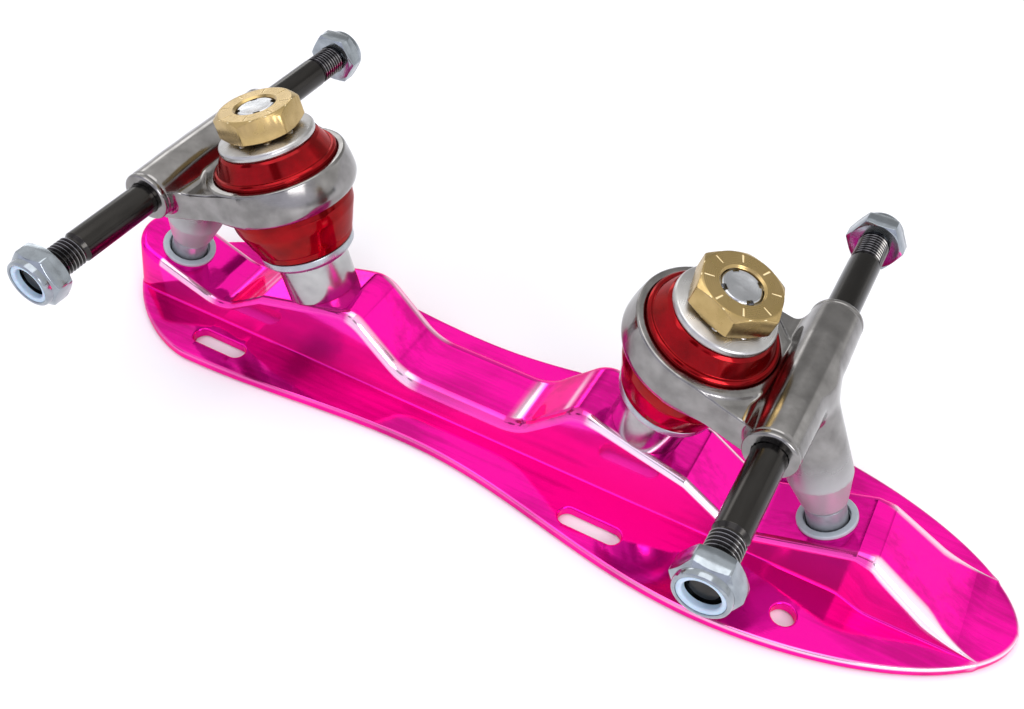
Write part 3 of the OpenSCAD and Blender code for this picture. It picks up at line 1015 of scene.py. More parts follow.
@dataclass
class FootPlate:
    """The pink plate: a foot-shaped flange with a raised spine that carries both trucks."""

    flange_t: float = 3.0
    heel_overhang: float = 31.4
    toe_overhang: float = 65.0
    heel_half: float = 26.5
    waist_half: float = 21.5
    ball_half: float = 33.1
    waist_x: float = -8.0
    heel_ahead: float = 2.5
    ball_behind: float = 6.5
    heel_power: float = 1.6
    toe_power: float = 1.85
    spine_half: float = 10.4
    mid_z: float = 11.0
    mid_half: float = 17.5
    ramp_angle: float = 45.0
    pad_reach: float = 14.6
    groove_angle: float = 34.0
    valley_r: float = 11.0
    dip_r: float = 13.0
    crest_r: float = 7.0
    groove_r: float = 1.5
    land_start: float = 9.8
    land_start_r: float = 1.0
    land_len: float = 4.4
    land_end_r: float = 3.0
    toe_flat: float = 7.5
    toe_lead: float = 4.0
    toe_base_half: float = 12.8
    toe_blend_r: float = 30.0
    toe_fan: float = 6.0
    toe_inset: float = 4.0
    flare_lead: float = 7.0
    flare_run: float = 10.0
    heel_end_r: float = 14.6
    heel_top_r: float = 11.0
    heel_corner: float = 14.0
    heel_ledge: float = 0.3
    cup_rim_t: float = 1.0
    rim_r: float = 0.9
    rim_most: float = 0.45
    foot_r: float = 0.6
    foot_most: Point = (0.4, 0.3)
    edge_most: float = 0.6
    pad_edge_r: float = 2.0
    ramp_edge_r: float = 3.2
    toe_edge_r: float = 3.7
    crest_fade: Point = (7.0, 2.0)
    land_fade: Point = (5.0, 1.0)
    slot_len: float = 17.0
    slot_w: float = 5.2
    slot_rim_r: float = 0.5
    rear_slot_in: float = 8.9
    rear_slot_y: float = 18.4
    front_slot_in: float = 37.0
    front_slot_y: float = 22.6
    hole_out: float = 14.0
    hole_d: float = 6.0
    kingpin_hole_r: float = 5.03
    kingpin_hole_depth: float = 14.5
    cup_hole_r: float = 6.53
    cup_hole_depth: float = 8.2
    slot_over: float = 1.0
    hole_over: float = 12.0
    station_step: float = 1.8
    station_gap: float = 0.15
    bend_stations: int = 3
    bend_steps: int = 10
    heel_steps: int = 24
    toe_columns: int = 24
    rim_steps: int = 4
    edge_steps: int = 8
    slot_steps: int = 48
    hole_steps: int = 72
    search_mm: float = 60.0
    search_steps: int = 50
    sharp_deg: float = 32.0
    wear: EdgeWear = EdgeWear()
    line: np.ndarray = field(init=False)

    def __post_init__(self) -> None:
        """Works out the spine's side view once."""
        self.line = np.array(self.side_view())

    @property
    def worn_bends(self) -> tuple[WornBend, ...]:
        """The bends that get a painted highlight.

        Returns:
            The bends, from the heel to the front pad.
        """
        return (
            WornBend(-self.groove_x - 4.2, 0.6, 1.0), WornBend(-self.groove_x - 1.4, 0.8, 1.0),
            WornBend(self.mid_half - 1.5, 1.2, 0.9), WornBend(self.crest_x - 3.5, 0.8, 1.0),
        )

    @property
    def heel_tip(self) -> float:
        """X of the flange's heel end."""
        return -LAYOUT.axle_x - self.heel_overhang

    @property
    def toe_tip(self) -> float:
        """X of the flange's toe end."""
        return LAYOUT.axle_x + self.toe_overhang

    @property
    def heel_centre(self) -> float:
        """X of the spine's round heel end's centre."""
        return self.heel_tip + self.heel_end_r

    @property
    def ramp_end(self) -> float:
        """X where the toe ramp has come down to the flange."""
        return self.toe_tip - self.toe_flat

    @property
    def land_end(self) -> float:
        """X where the toe ramp starts."""
        return LAYOUT.pivot_x + self.land_start + self.land_len

    @property
    def crest_x(self) -> float:
        """Distance of the ramps' crests from the middle.

        Returns:
            The distance at which a ramp meets its kingpin pad.
        """
        ramp, lean = (math.tan(math.radians(a)) for a in (self.ramp_angle, LAYOUT.kingpin_angle))
        rise = LAYOUT.kingpin_pad_z - self.mid_z + LAYOUT.kingpin_x * lean + self.mid_half * ramp
        return rise / (ramp + lean)

    @property
    def groove_x(self) -> float:
        """Distance of the kingpin pads' outer edges from the middle."""
        return LAYOUT.kingpin_x + self.pad_reach

    @property
    def land_z(self) -> float:
        """Height of the land ahead of the front pivot pad."""
        return self.pivot_pad_z + self.land_start * math.tan(math.radians(LAYOUT.pivot_angle))

    @property
    def pivot_pad_z(self) -> float:
        """Height of the pivot pads under the cups' rims."""
        return LAYOUT.pivot_z - self.cup_rim_t / math.cos(math.radians(LAYOUT.pivot_angle))

    @property
    def rim_points(self) -> int:
        """How many of a section's points lie on the flange's rim."""
        return 2 * (self.rim_steps + 1)

    def side_view(self) -> list[Point]:
        """Draws the spine's top from the side.

        Returns:
            Its outline from heel to toe, as points of X and Z.
        """
        lean = math.tan(math.radians(LAYOUT.kingpin_angle))
        ramp = math.tan(math.radians(self.ramp_angle))
        step = math.tan(math.radians(self.groove_angle))
        rise = math.tan(math.radians(LAYOUT.pivot_angle))
        crest, groove, pivot = self.crest_x, self.groove_x, LAYOUT.pivot_x
        crest_z = self.mid_z + (crest - self.mid_half) * ramp
        groove_z = LAYOUT.kingpin_pad_z - self.pad_reach * lean
        valley = (groove_z - self.pivot_pad_z + groove * step + pivot * rise) / (step + rise)
        valley_z = groove_z - (valley - groove) * step
        heel_z = self.pivot_pad_z + (-self.heel_tip - pivot) * rise
        half = [
            (self.mid_half, self.mid_z, self.dip_r), (crest, crest_z, self.crest_r),
            (groove, groove_z, self.groove_r), (valley, valley_z, self.valley_r),
        ]
        corners = [(self.heel_tip - 1, heel_z + rise, 0.0)]
        corners += [(-x, z, r) for x, z, r in reversed(half)]
        corners += half
        corners += [
            (pivot + self.land_start, self.land_z, self.land_start_r),
            (self.land_end, self.land_z, self.land_end_r),
            (self.ramp_end - self.toe_lead, self.flange_t, self.toe_blend_r),
            (self.toe_tip, self.flange_t, 0.0),
        ]
        return filleted(corners, closed=False, steps=self.bend_steps)

    def top_z(self, x: float) -> float:
        """Height of the spine's top at a place along it."""
        return float(np.interp(x, self.line[:, 0], self.line[:, 1]))

    def edge_r(self, x: float) -> float:
        """Rounding of the spine's top edge.

        Args:
            x: place along the spine.

        Returns:
            The radius there.
        """
        crest, land, pad, ramp = self.crest_x, self.land_end, self.pad_edge_r, self.ramp_edge_r
        outer, inner = self.crest_fade
        before, after = self.land_fade
        places = (-crest - outer, -crest + inner, crest - inner, crest + outer)
        places += (land - before, land + after, (land + self.ramp_end) / 2)
        return float(np.interp(x, places, (pad, ramp, ramp, pad, pad, ramp, self.toe_edge_r)))

    def flange_half(self, x: float) -> float:
        """Half width of the flange.

        Args:
            x: place along the flange.

        Returns:
            The half width there.
        """
        heel, ball = -LAYOUT.axle_x + self.heel_ahead, LAYOUT.axle_x - self.ball_behind

        def bulge(share: float, power: float) -> float:
            """Falls from 1 to 0 as a round end does."""
            return max(0.0, 1 - min(1.0, share) ** power) ** (1 / power)

        def ease(share: float) -> float:
            """Rises from 0 to 1 with no corner at either end."""
            return (1 - math.cos(math.pi * share)) / 2

        if x < heel:
            return self.heel_half * bulge((heel - x) / (heel - self.heel_tip), self.heel_power)
        if x < self.waist_x:
            share = ease((x - heel) / (self.waist_x - heel))
            return self.heel_half + (self.waist_half - self.heel_half) * share
        if x < ball:
            share = ease((x - self.waist_x) / (ball - self.waist_x))
            return self.waist_half + (self.ball_half - self.waist_half) * share
        return self.ball_half * bulge((x - ball) / (self.toe_tip - ball), self.toe_power)

    def wall_half(self, x: float, z: float) -> float:
        """Half width of the spine.

        Args:
            x: place along the spine.
            z: height.

        Returns:
            The half width there, flared under the toe ramp.
        """
        share = float(np.clip((x - self.land_end + self.flare_lead) / self.flare_run, 0, 1))
        flare = share * share * (3 - 2 * share) * (self.toe_base_half - self.spine_half)
        return self.spine_half + flare * (self.land_z - z) / (self.land_z - self.flange_t)

    def heel_radius(self, angle: float, z: float) -> float:
        """Distance of the spine's heel wall from its centre.

        Args:
            angle: angle from the heel's tip, in radians.
            z: height.

        Returns:
            The distance, with a rounded corner between the end and the sides.
        """
        top = self.top_z(self.heel_tip)
        end = self.heel_end_r + (self.heel_top_r - self.heel_end_r) * z / top
        side = self.spine_half / max(TINY, math.sin(angle))
        power = self.heel_corner
        return (end ** -power + side ** -power) ** (-1 / power)

    def heel_rim(self, angle: float) -> float:
        """Distance of the flange's rim from the heel's centre, found by halving.

        Args:
            angle: angle from the heel's tip, in radians.

        Returns:
            The distance.
        """
        low, high = 0.0, self.search_mm
        for _ in range(self.search_steps):
            middle = (low + high) / 2
            x = self.heel_centre - middle * math.cos(angle)
            inside = x > self.heel_tip and middle * math.sin(angle) < self.flange_half(x)
            low, high = (middle, high) if inside else (low, middle)
        return low

    def section(
        self, rim: np.ndarray, out: np.ndarray, wall: Callable[[float], np.ndarray], x: float
    ) -> list[Spot]:
        """Points of one section, from the boot face's edge up to the spine's top.

        Args:
            rim: the flange's rim, in plan.
            out: the way out, in plan.
            wall: gives the spine's wall in plan at a height.
            x: place along the spine where the section meets its top edge.

        Returns:
            The points, always as many.
        """
        t = self.flange_t
        tall = max(0.0, self.top_z(x) - t)
        gap = max(0.0, float((rim - wall(t)) @ out))
        rim_r = min(self.rim_r, self.rim_most * gap)
        foot_r = min(self.foot_r, self.foot_most[0] * gap, self.foot_most[1] * tall)
        edge_r = min(self.edge_r(x), self.edge_most * tall)
        points = []
        quarter = quarter_turn(self.rim_steps)
        for a in quarter:
            points.append((*(rim - out * rim_r * (1 - math.sin(a))), rim_r * (1 - math.cos(a))))
        for a in quarter:
            points.append((*(rim - out * rim_r * (1 - math.cos(a))), t - rim_r * (1 - math.sin(a))))
        for a in quarter:
            z = t + foot_r * (1 - math.cos(a))
            points.append((*(wall(z) + out * foot_r * (1 - math.sin(a))), z))
        shoulder = wall(t + tall - edge_r)
        for a in quarter_turn(self.edge_steps):
            spot = shoulder - out * edge_r * (1 - math.cos(a))
            z = self.top_z(spot[0]) - edge_r * (1 - math.sin(a))
            points.append((*spot, max(z, t)))
        return points

    def near_sections(self) -> list[list[Spot]]:
        """Draws the sections of the near half.

        Returns:
            The sections, from the heel's tip to the end of the toe ramp.
        """
        sections = []
        centre = np.array((self.heel_centre, 0.0))
        for k in range(self.heel_steps):
            angle = math.pi / 2 * k / self.heel_steps
            out = np.array((-math.cos(angle), -math.sin(angle)))
            top = self.top_z(self.heel_centre - self.heel_top_r * math.cos(angle))
            x = self.heel_centre - self.heel_radius(angle, top) * math.cos(angle)
            reach = self.heel_rim(angle)

            def wall(z: float) -> np.ndarray:
                """Place of the heel's wall in plan at a height, kept inside the flange's rim."""
                return centre + out * min(reach - self.heel_ledge, self.heel_radius(angle, z))

            sections.append(self.section(centre + out * reach, out, wall, x))
        count = math.ceil((self.ramp_end - self.heel_centre) / self.station_step)
        even = np.linspace(self.heel_centre, self.ramp_end, count)
        bends = [x for x in self.line[:, 0] if self.heel_centre < x < self.ramp_end]
        spread = range(-self.bend_stations, self.bend_stations + 1)
        bends += [bend.place + k * bend.width / 2 for bend in self.worn_bends for k in spread]
        out = np.array((0.0, -1.0))
        last = -math.inf
        for x in sorted((*even, *bends)):
            if x - last < self.station_gap:
                continue
            last = x
            rim = np.array((x, -self.flange_half(x)))
            sections.append(self.section(rim, out, lambda z: np.array((x, -self.wall_half(x, z))), x))
        return sections

    def toe_rims(self) -> list[list[Spot]]:
        """Draws the rounded rim of the toe beyond the ramp.

        Returns:
            Its sections, from the near side round to the far side.
        """
        rims = []
        half = self.toe_columns // 2
        for k in range(1, self.toe_columns):
            share = 1 - abs(k - half) / half
            x = self.ramp_end + (self.toe_tip - self.ramp_end) * math.sin(math.pi / 2 * share)
            y = math.copysign(self.flange_half(x), k - half)
            rim = np.array((x, y if k != half else 0.0))
            out = rim - np.array((self.ramp_end - self.toe_fan, 0.0))
            out = out / np.linalg.norm(out)
            section = self.section(rim, out, lambda z: rim - out * self.toe_inset, self.toe_tip)
            rims.append(section[: self.rim_points])
        return rims

    def shell(self) -> Mesh:
        """Makes the plate before its holes are cut.

        Returns:
            The closed mesh, in millimetres.
        """
        near = self.near_sections()
        far = [[(x, -y, z) for x, y, z in section] for section in near]
        vertices: list[Spot] = []
        faces: list[tuple[int, ...]] = []

        def put(points: Sequence[Spot]) -> list[int]:
            """Adds points and gives their numbers."""
            vertices.extend(points)
            return list(range(len(vertices) - len(points), len(vertices)))

        def strip(a: Sequence[int], b: Sequence[int]) -> None:
            """Joins two rows of points with faces."""
            for j in range(len(a) - 1):
                faces.append((a[j], a[j + 1], b[j + 1], b[j]))

        near_rows = [put(section) for section in near]
        far_rows = [put(section) for section in far]
        for rows in (near_rows, far_rows):
            for a, b in zip(rows, rows[1:]):
                strip(a, b)
        tops = []
        shares = [math.cos(math.pi * k / self.toe_columns) for k in range(1, self.toe_columns)]
        for section, a, b in zip(near, near_rows, far_rows):
            x, y, z = section[-1]
            tops.append([a[-1], *put([(x, y * share, z) for share in shares]), b[-1]])
        for a, b in zip(tops, tops[1:]):
            strip(a, b)
        rim = self.rim_points
        toe = [near_rows[-1][:rim], *(put(points) for points in self.toe_rims()), far_rows[-1][:rim]]
        for k, (a, b) in enumerate(zip(toe, toe[1:])):
            strip(a, b)
            faces.append((a[-1], b[-1], tops[-1][k + 1], tops[-1][k]))
        for row in (near_rows[-1], far_rows[-1]):
            faces.append(tuple(row[rim - 1 :]))
        loop = [row[0] for row in near_rows] + [row[0] for row in toe[1:-1]]
        loop += [row[0] for row in reversed(far_rows)]
        faces.append(tuple(loop[:-1]))
        return welded("plate shell", vertices, faces)

    def slot_tool(self, length: float, width: float, x: float, y: float) -> Mesh:
        """Makes the tool that cuts a slot or a round hole with rounded rims.

        Args:
            length: length of the slot along X, or its width for a round hole.
            width: width of the slot.
            x: place along the plate.
            y: place across the plate.

        Returns:
            The tool, in millimetres.
        """
        r, t, around = self.slot_rim_r, self.flange_t, self.slot_steps
        quarter = quarter_turn(self.rim_steps)
        rows = [(r, -self.slot_over)]
        rows += [(r * (1 - math.sin(a)), r * (1 - math.cos(a))) for a in quarter]
        rows += [(r * (1 - math.cos(a)), t - r * (1 - math.sin(a))) for a in quarter]
        rows += [(r, t + self.slot_over)]
        straight = (length - width) / 2
        vertices, faces = [], []
        for grow, z in rows:
            for k in range(around):
                a = math.tau * (k + 0.5) / around
                radius = width / 2 + grow
                shift = math.copysign(straight, math.cos(a))
                vertices.append((x + shift + radius * math.cos(a), y + radius * math.sin(a), z))
        for j in range(len(rows) - 1):
            for k in range(around):
                n = (k + 1) % around
                faces.append((j * around + k, j * around + n, (j + 1) * around + n, (j + 1) * around + k))
        faces.append(tuple(range(around)))
        faces.append(tuple(range((len(rows) - 1) * around, len(rows) * around)))
        return welded("slot tool", vertices, faces)

    def hole_tool(self, place: Matrix, radius: float, depth: float) -> Mesh:
        """Makes the tool that bores a round hole.

        Args:
            place: frame of the hole's mouth, with Z up out of it.
            radius: the hole's radius.
            depth: its depth.

        Returns:
            The tool, in millimetres, with no corner on the plate's middle line.
        """
        top = self.hole_over
        corners = [(0, -depth, 0), (radius, -depth, 0), (radius, top, 0), (0, top, 0)]
        tool = turned("hole tool", corners, closed=False, segments=self.hole_steps)
        return placed(tool, place @ Matrix.Rotation(math.pi / self.hole_steps, 4, "Z"))

    def tools(self) -> Mesh:
        """Makes all the cutting tools.

        Returns:
            The tools as one mesh, in millimetres.
        """
        slots = (
            (self.slot_len, self.slot_w, -LAYOUT.axle_x + self.rear_slot_in, self.rear_slot_y),
            (self.slot_len, self.slot_w, LAYOUT.axle_x - self.front_slot_in, self.front_slot_y),
            (self.hole_d, self.hole_d, LAYOUT.axle_x + self.hole_out, self.front_slot_y),
        )
        holes = (
            (LAYOUT.kingpin_frame(), self.kingpin_hole_r, self.kingpin_hole_depth),
            (LAYOUT.pivot_frame(), self.cup_hole_r, self.cup_hole_depth),
        )
        meshes = []
        for side in Side:
            meshes += [self.slot_tool(length, width, x, side.value * y) for length, width, x, y in slots]
        for end in End:
            mirror = Matrix.Diagonal((end.value, 1, 1, 1))
            meshes += [self.hole_tool(mirror @ place, radius, depth) for place, radius, depth in holes]
        return joined("plate tools", meshes)

    def edge_share(self, point: Spot) -> float:
        """How much painted highlight a point of the spine's top edge gets.

        Args:
            point: the point, in millimetres.

        Returns:
            A share from 0 to 1, most in mid rounding on slopes that face the toe.
        """
        x, y, z = point
        wear = self.wear
        radius = min(self.edge_r(x), self.edge_most * (self.top_z(x) - self.flange_t))
        inset, drop = self.wall_half(x, z) - abs(y), self.top_z(x) - z
        if x < self.heel_centre or radius < wear.least_r or inset > radius or drop > radius:
            return 0.0
        step = wear.slope_step
        fall = (self.top_z(x - step) - self.top_z(x + step)) / (2 * step)
        most = float(np.interp(fall, wear.slopes, wear.slope_wear))
        most *= float(np.interp(x, wear.edge_places, wear.edge_wear))
        middle = max(0.0, math.sin(2 * math.atan2(radius - drop, radius - inset)))
        return most * min(1.0, wear.edge_gain * middle**wear.edge_power)

    def bend_share(self, point: Spot) -> float:
        """How much painted highlight a point of the spine's top gets from the bends across it.

        Args:
            point: the point, in millimetres.

        Returns:
            A share from 0 to 1, less on the far side.
        """
        x, y, z = point
        if self.top_z(x) - z > self.wear.bend_depth:
            return 0.0
        bends = self.worn_bends
        lightened = max(bend.strength * math.exp(-(((x - bend.place) / bend.width) ** 2)) for bend in bends)
        return lightened * float(np.interp(y, self.wear.bend_places, self.wear.bend_wear))

    def rim_share(self, point: Spot) -> float:
        """How much painted highlight a point of the flange's upper rim gets.

        Args:
            point: the point, in millimetres.

        Returns:
            A share from 0 to 1, most round the toe.
        """
        x, y, z = point
        wear = self.wear
        half = self.flange_half(x)
        lean = (half - self.flange_half(x + wear.rim_step)) / wear.rim_step
        inset = (half - abs(y)) / math.hypot(1, lean)
        rise = z - self.flange_t + self.rim_r
        reach = wear.rim_reach * self.rim_r - inset
        if rise <= 0 or reach <= 0:
            return 0.0
        most = float(np.interp(x, wear.rim_places, wear.rim_wear))
        return most * math.sin(2 * math.atan2(rise, reach))

    def wall_share(self, vertex: Vector) -> float:
        """How much of the lighter, bluer pink painted on the spine's walls in place of their reflections a
        point has.

        Args:
            vertex: the point, in metres.

        Returns:
            A share from 0 to 1.
        """
        x, y, z = vertex / MM
        reach = abs(y) - self.wall_half(x, z)
        above, below = z - self.flange_t, self.top_z(x) - z
        if x < self.heel_centre or abs(reach) > self.wear.wall_skin:
            return 0.0
        middle = np.clip(above / self.foot_r, 0, 1) * np.clip(below / self.edge_r(x), 0, 1)
        return self.wear.wall_light * float(middle)

    def worn_share(self, vertex: Vector) -> float:
        """How much painted highlight the anodising gets at a point, from 0 to 1."""
        point = tuple(vertex / MM)
        return max(self.edge_share(point), self.bend_share(point), self.rim_share(point))

    def build(self) -> None:
        """Makes the plate, cuts its holes and dresses it."""
        blank = scene_object("plate blank", self.shell())
        tool = scene_object("plate tool", self.tools())
        cut = blank.modifiers.new("holes", "BOOLEAN")
        cut.operation = "DIFFERENCE"
        cut.solver = "EXACT"
        cut.object = tool
        mesh = evaluated(blank, "plate")
        bpy.data.objects.remove(tool)
        mesh = flat_faces_kept(placed(mesh, Matrix.Scale(MM, 4)), self.sharp_deg)
        # Store the painted highlight and the painted wall pink for the finish to read
        mark_points(mesh, HIGHLIGHT_MARK, [self.worn_share(vertex.co) for vertex in mesh.vertices])
        mark_points(mesh, WALL_PAINT_MARK, [self.wall_share(vertex.co) for vertex in mesh.vertices])
        add_piece("polished_plate", mesh, ANODISED.material(), "plate_body", "plate", sharp_deg=0)


@dataclass
class KingpinStack:
    """What stands on one kingpin: collar, cup, cushions, retainer and adjuster."""

    end: End
    hex_turn: float
    tick_turn: float = 22.5
    kingpin_r: float = 5.0
    kingpin_len: float = 53.8
    kingpin_root: float = 14.0
    notch_deg: float = 11.0
    notch_depth: float = 1.1
    notch_edge_deg: float = 0.4
    press_gap: float = 0.03
    collar_r: float = 9.6
    collar_h: float = 11.8
    cup_r: float = 12.7
    cup_h: float = 3.0
    cup_floor: float = 1.2
    cup_lip: float = 0.8
    seat_gap: float = 0.1
    top_cushion_out: float = 5.7
    retainer_r: float = 12.4
    retainer_t: float = 2.5
    crown_in: float = 1.4
    crown_rise: float = 0.45
    dome_gap: float = 1.0
    dome_r: float = 1.6
    adjuster_af: float = 19.05
    adjuster_h: float = 6.3
    tick_count: int = 8
    tick_half_deg: float = 1.5
    tick_reach: float = 3.0
    tick_depth: float = 0.12
    tick_edge_deg: float = 0.35
    tick_slack: float = 0.02
    turn_gap: float = 0.06
    segments: int = 120
    cushion_segments: int = 128
    cushion_sharp_deg: float = 50.0
    adjuster_segments: int = 180

    @property
    def place(self) -> Matrix:
        """Where the stack stands, in metres."""
        return at_end(LAYOUT.kingpin_frame(), self.end)

    @property
    def texture_place(self) -> Matrix:
        """Frame for turning marks about the kingpin, in millimetres."""
        return turned_about(LAYOUT.kingpin_frame(), self.end)

    @property
    def retainer_low(self) -> float:
        """Height of the retainer's underside."""
        return LAYOUT.ring_top + self.top_cushion_out

    @property
    def adjuster_low(self) -> float:
        """Height of the adjuster's underside."""
        return self.retainer_low + self.retainer_t + self.dome_gap

    def named(self, piece: str) -> str:
        """Name of one of the stack's solids."""
        return f"{self.end.word}_{piece}"

    def build_kingpin(self) -> None:
        """Makes the stud with its notched end."""
        rim, top = self.kingpin_r, self.kingpin_len
        nudge = self.notch_edge_deg
        edges = [side * self.notch_deg + shift for side in (-1, 1) for shift in (-nudge, nudge)]
        notches = [45 + 90 * k + edge for k in range(4) for edge in edges]

        def rows(angle: float) -> list[Point]:
            """Draws the stud's section.

            Args:
                angle: the angle about the stud, in radians.

            Returns:
                Points of radius and height, cut back at the stud's end inside a notch.
            """
            off = abs(math.degrees(angle) % 90 - 45)
            cut = self.notch_depth if off < self.notch_deg else 0.0
            return [
                (0, -self.kingpin_root), (rim, -self.kingpin_root), (rim, top - 1.5),
                (rim - cut, top - 1.45), (rim - cut, top - 0.6), (rim - max(cut, 0.2), top - 0.25),
                (rim - max(cut, 0.6), top), (rim - 1.3, top), (rim - 1.6, top - 0.08), (0, top - 0.08),
            ]

        name = self.named("kingpin")
        mesh = polar_mesh(name, rows, even_angles(ROUND_STEPS, *notches), closed=False)
        finish = STUD_STEEL.material(self.texture_place)
        mesh = placed(mesh, self.place)
        add_piece(f"{name}_stud", mesh, finish, "plate_body", name, sharp_deg=30)

    def build_collar(self) -> None:
        """Makes the polished collar on the pad."""
        bore, r, h = self.kingpin_r + self.press_gap, self.collar_r, self.collar_h
        corners = [(bore, 0, 0), (r, 0, 0.15), (r, h - 0.8, 0.5), (r - 0.8, h, 0.3), (bore, h, 0)]
        name = self.named("collar")
        mesh = turned(name, corners, segments=self.segments)
        finish = COLLAR_METAL.material(self.texture_place)
        add_piece(f"{name}_turned", placed(mesh, self.place), finish, "plate_body", name)

    def build_cup(self) -> None:
        """Makes the dished washer under the bottom cushion."""
        bore, r, low = self.kingpin_r + self.press_gap, self.cup_r, self.collar_h
        floor, top, inner = low + self.cup_floor, low + self.cup_h, r - self.cup_lip
        corners = [
            (bore, low, 0), (r - 1, low, 0.3), (r, floor, 0.6), (r, top, 0.3), (inner, top, 0.3),
            (inner, floor, 0.3), (bore, floor, 0),
        ]
        name = self.named("bottom_cup")
        mesh = turned(name, corners, segments=self.segments)
        finish = CUP_ZINC.material(self.texture_place)
        add_piece(f"{name}_pressed", placed(mesh, self.place), finish, "plate_body", name)

    def add_cushion(self, mesh: Mesh, word: str, fixed: float, moving: float) -> None:
        """Dresses a cushion, which bends between the plate and the truck, and leaves it on no moving body.

        Args:
            mesh: its mesh, in the kingpin's frame.
            word: the cushion's name without its end.
            fixed: height where it stays with the kingpin.
            moving: height where it goes with the hanger's ring.
        """
        name, finish = self.named(word), URETHANE.material(self.texture_place)
        mesh, sharp = placed(mesh, self.place), self.cushion_sharp_deg
        obj = add_piece(f"{name}_moulded", mesh, finish, None, name, sharp)
        spots = [self.place @ Vector((0, 0, z)) for z in (fixed, moving)]
        tuple(spots[0])
        tuple(spots[1])
        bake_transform(obj)

    def build_cushions(self) -> None:
        """Makes the barrel cushion under the ring and the cone cushion over it."""
        bore, head = self.kingpin_r + self.seat_gap, LAYOUT.seat_r - self.seat_gap
        cup, foot = self.cup_r, self.cup_r - self.cup_lip - self.seat_gap
        low, brim, ring = self.collar_h + self.cup_floor, self.collar_h + self.cup_h, LAYOUT.ring_low
        barrel = [
            (bore, low, 0), (foot, low, 0.2), (foot, brim + 0.15, 0.1), (cup + 0.3, brim + 0.5, 0.3),
            (cup + 0.65, brim + 2.2, 0.5), (cup + 0.95, brim + 2.5, 0.4), (head - 1.2, ring - 8.5, 8),
            (head + 0.05, ring - 5, 5), (head + 0.3, ring - 2.2, 2), (head, ring - 0.2, 0.4),
            (head, LAYOUT.shelf_low, 0.3), (bore, LAYOUT.shelf_low, 0),
        ]
        mesh = turned("barrel cushion", barrel, segments=self.cushion_segments)
        self.add_cushion(mesh, "bottom_cushion", brim, ring)
        shelf, rim, over, r = LAYOUT.shelf_top, LAYOUT.ring_top, self.retainer_low, self.retainer_r
        cone = [
            (bore, shelf, 0), (head, shelf, 0.3), (head, rim + 0.9, 0.45), (head - 0.6, rim + 1.4, 0.3),
            (head - 1.2, rim + 1.35, 0.25), (r + 0.5, over - 0.6, 0.4), (r - 0.2, over, 0.3),
            (bore, over, 0),
        ]
        mesh = turned("cone cushion", cone, segments=self.cushion_segments)
        self.add_cushion(mesh, "top_cushion", over, rim)

    def build_retainer(self) -> None:
        """Makes the washer with the domes that the adjuster clicks over."""
        bore, r, low = self.kingpin_r + self.turn_gap, self.retainer_r, self.retainer_low
        top = low + self.retainer_t
        neck = self.adjuster_af / 2 - self.crown_in
        crown = top + self.crown_rise * self.dome_gap
        corners = [
            (bore, low, 0), (r - 0.4, low, 0.3), (r, low + 0.6, 0.5), (r, top - 0.6, 0.9),
            (neck, crown, 0.8), (bore, crown, 0),
        ]
        finish = SATIN_STEEL.material(self.texture_place)
        washer = turned("retainer", corners, segments=self.segments)
        dome, count = self.dome_r, self.tick_count
        ring_r = self.adjuster_af / 2 - dome
        bumps = dome_ring_tree().mesh("domes", finish, count=count, ring_radius=ring_r, dome_radius=dome)
        bumps.transform(Matrix.Translation((0, 0, top - dome / 2)))
        name = self.named("retainer")
        mesh = placed(joined(name, [washer, bumps]), self.place)
        add_piece(f"{name}_domed", mesh, finish, self.named("washer"), name)

    def build_adjuster(self) -> None:
        """Makes the hexagonal brass adjuster with its engraved marks."""
        flat, bore = self.adjuster_af / 2, self.kingpin_r + self.turn_gap
        low, top = self.adjuster_low, self.adjuster_low + self.adjuster_h
        ticks = [self.tick_turn + 360 / self.tick_count * k for k in range(self.tick_count)]
        halves = (self.tick_half_deg, self.tick_half_deg + self.tick_edge_deg)
        marks = [tick + side * half for tick in ticks for side in (-1, 1) for half in halves]

        def rows(angle: float) -> list[Point]:
            """Draws the adjuster's section.

            Args:
                angle: the angle about the kingpin, in radians.

            Returns:
                Points of radius and height of a hexagon with turned corners, engraved at the marks.
            """
            r = hexagon_radius(angle, self.adjuster_af, self.hex_turn)
            off = min(abs((math.degrees(angle) - t + 180) % 360 - 180) for t in ticks)
            dip = self.tick_depth if off <= self.tick_half_deg + 0.01 else 0.0
            under = low + 0.8 * max(0.0, r - flat) / 1.9
            over = top - 1.2 * max(0.0, r - flat + 0.1) / 2
            return [
                (bore, low), (flat - 0.3, low), (min(r, flat), low + 0.05),
                (r - 0.08, under + 0.06), (r, under + 0.2), (r, over - 0.2), (r - 0.1, over),
                (flat - 0.05, top - 0.06), (flat - 0.35, top), (flat - 0.6, top),
                (flat - 0.65, top - dip), (flat - 2.95, top - dip), (flat - self.tick_reach, top),
                (bore + 0.55, top), (bore + 0.4, top - 0.1), (bore, top - 0.5),
            ]

        name = self.named("adjuster_nut")
        mesh = polar_mesh(name, rows, even_angles(self.adjuster_segments, *marks), closed=True)
        # The floors of the engraved marks take the cut brass, painted light as a highlight
        for face in mesh.polygons:
            is_low = abs(face.center.z - (top - self.tick_depth)) < self.tick_slack
            face.material_index = int(is_low and face.center.xy.length > flat - self.tick_reach)
        finish, cut = BRASS.material(self.texture_place), CUT_BRASS_HIGHLIGHT.material(self.texture_place)
        mesh = placed(mesh, self.place)
        body = self.named("adjuster")
        add_piece(f"{name}_turned", mesh, finish, body, name, sharp_deg=28, second=cut)

    def build(self) -> None:
        """Makes the whole stack."""
        self.build_kingpin()
        self.build_collar()
        self.build_cup()
        self.build_cushions()
        self.build_retainer()
        self.build_adjuster()


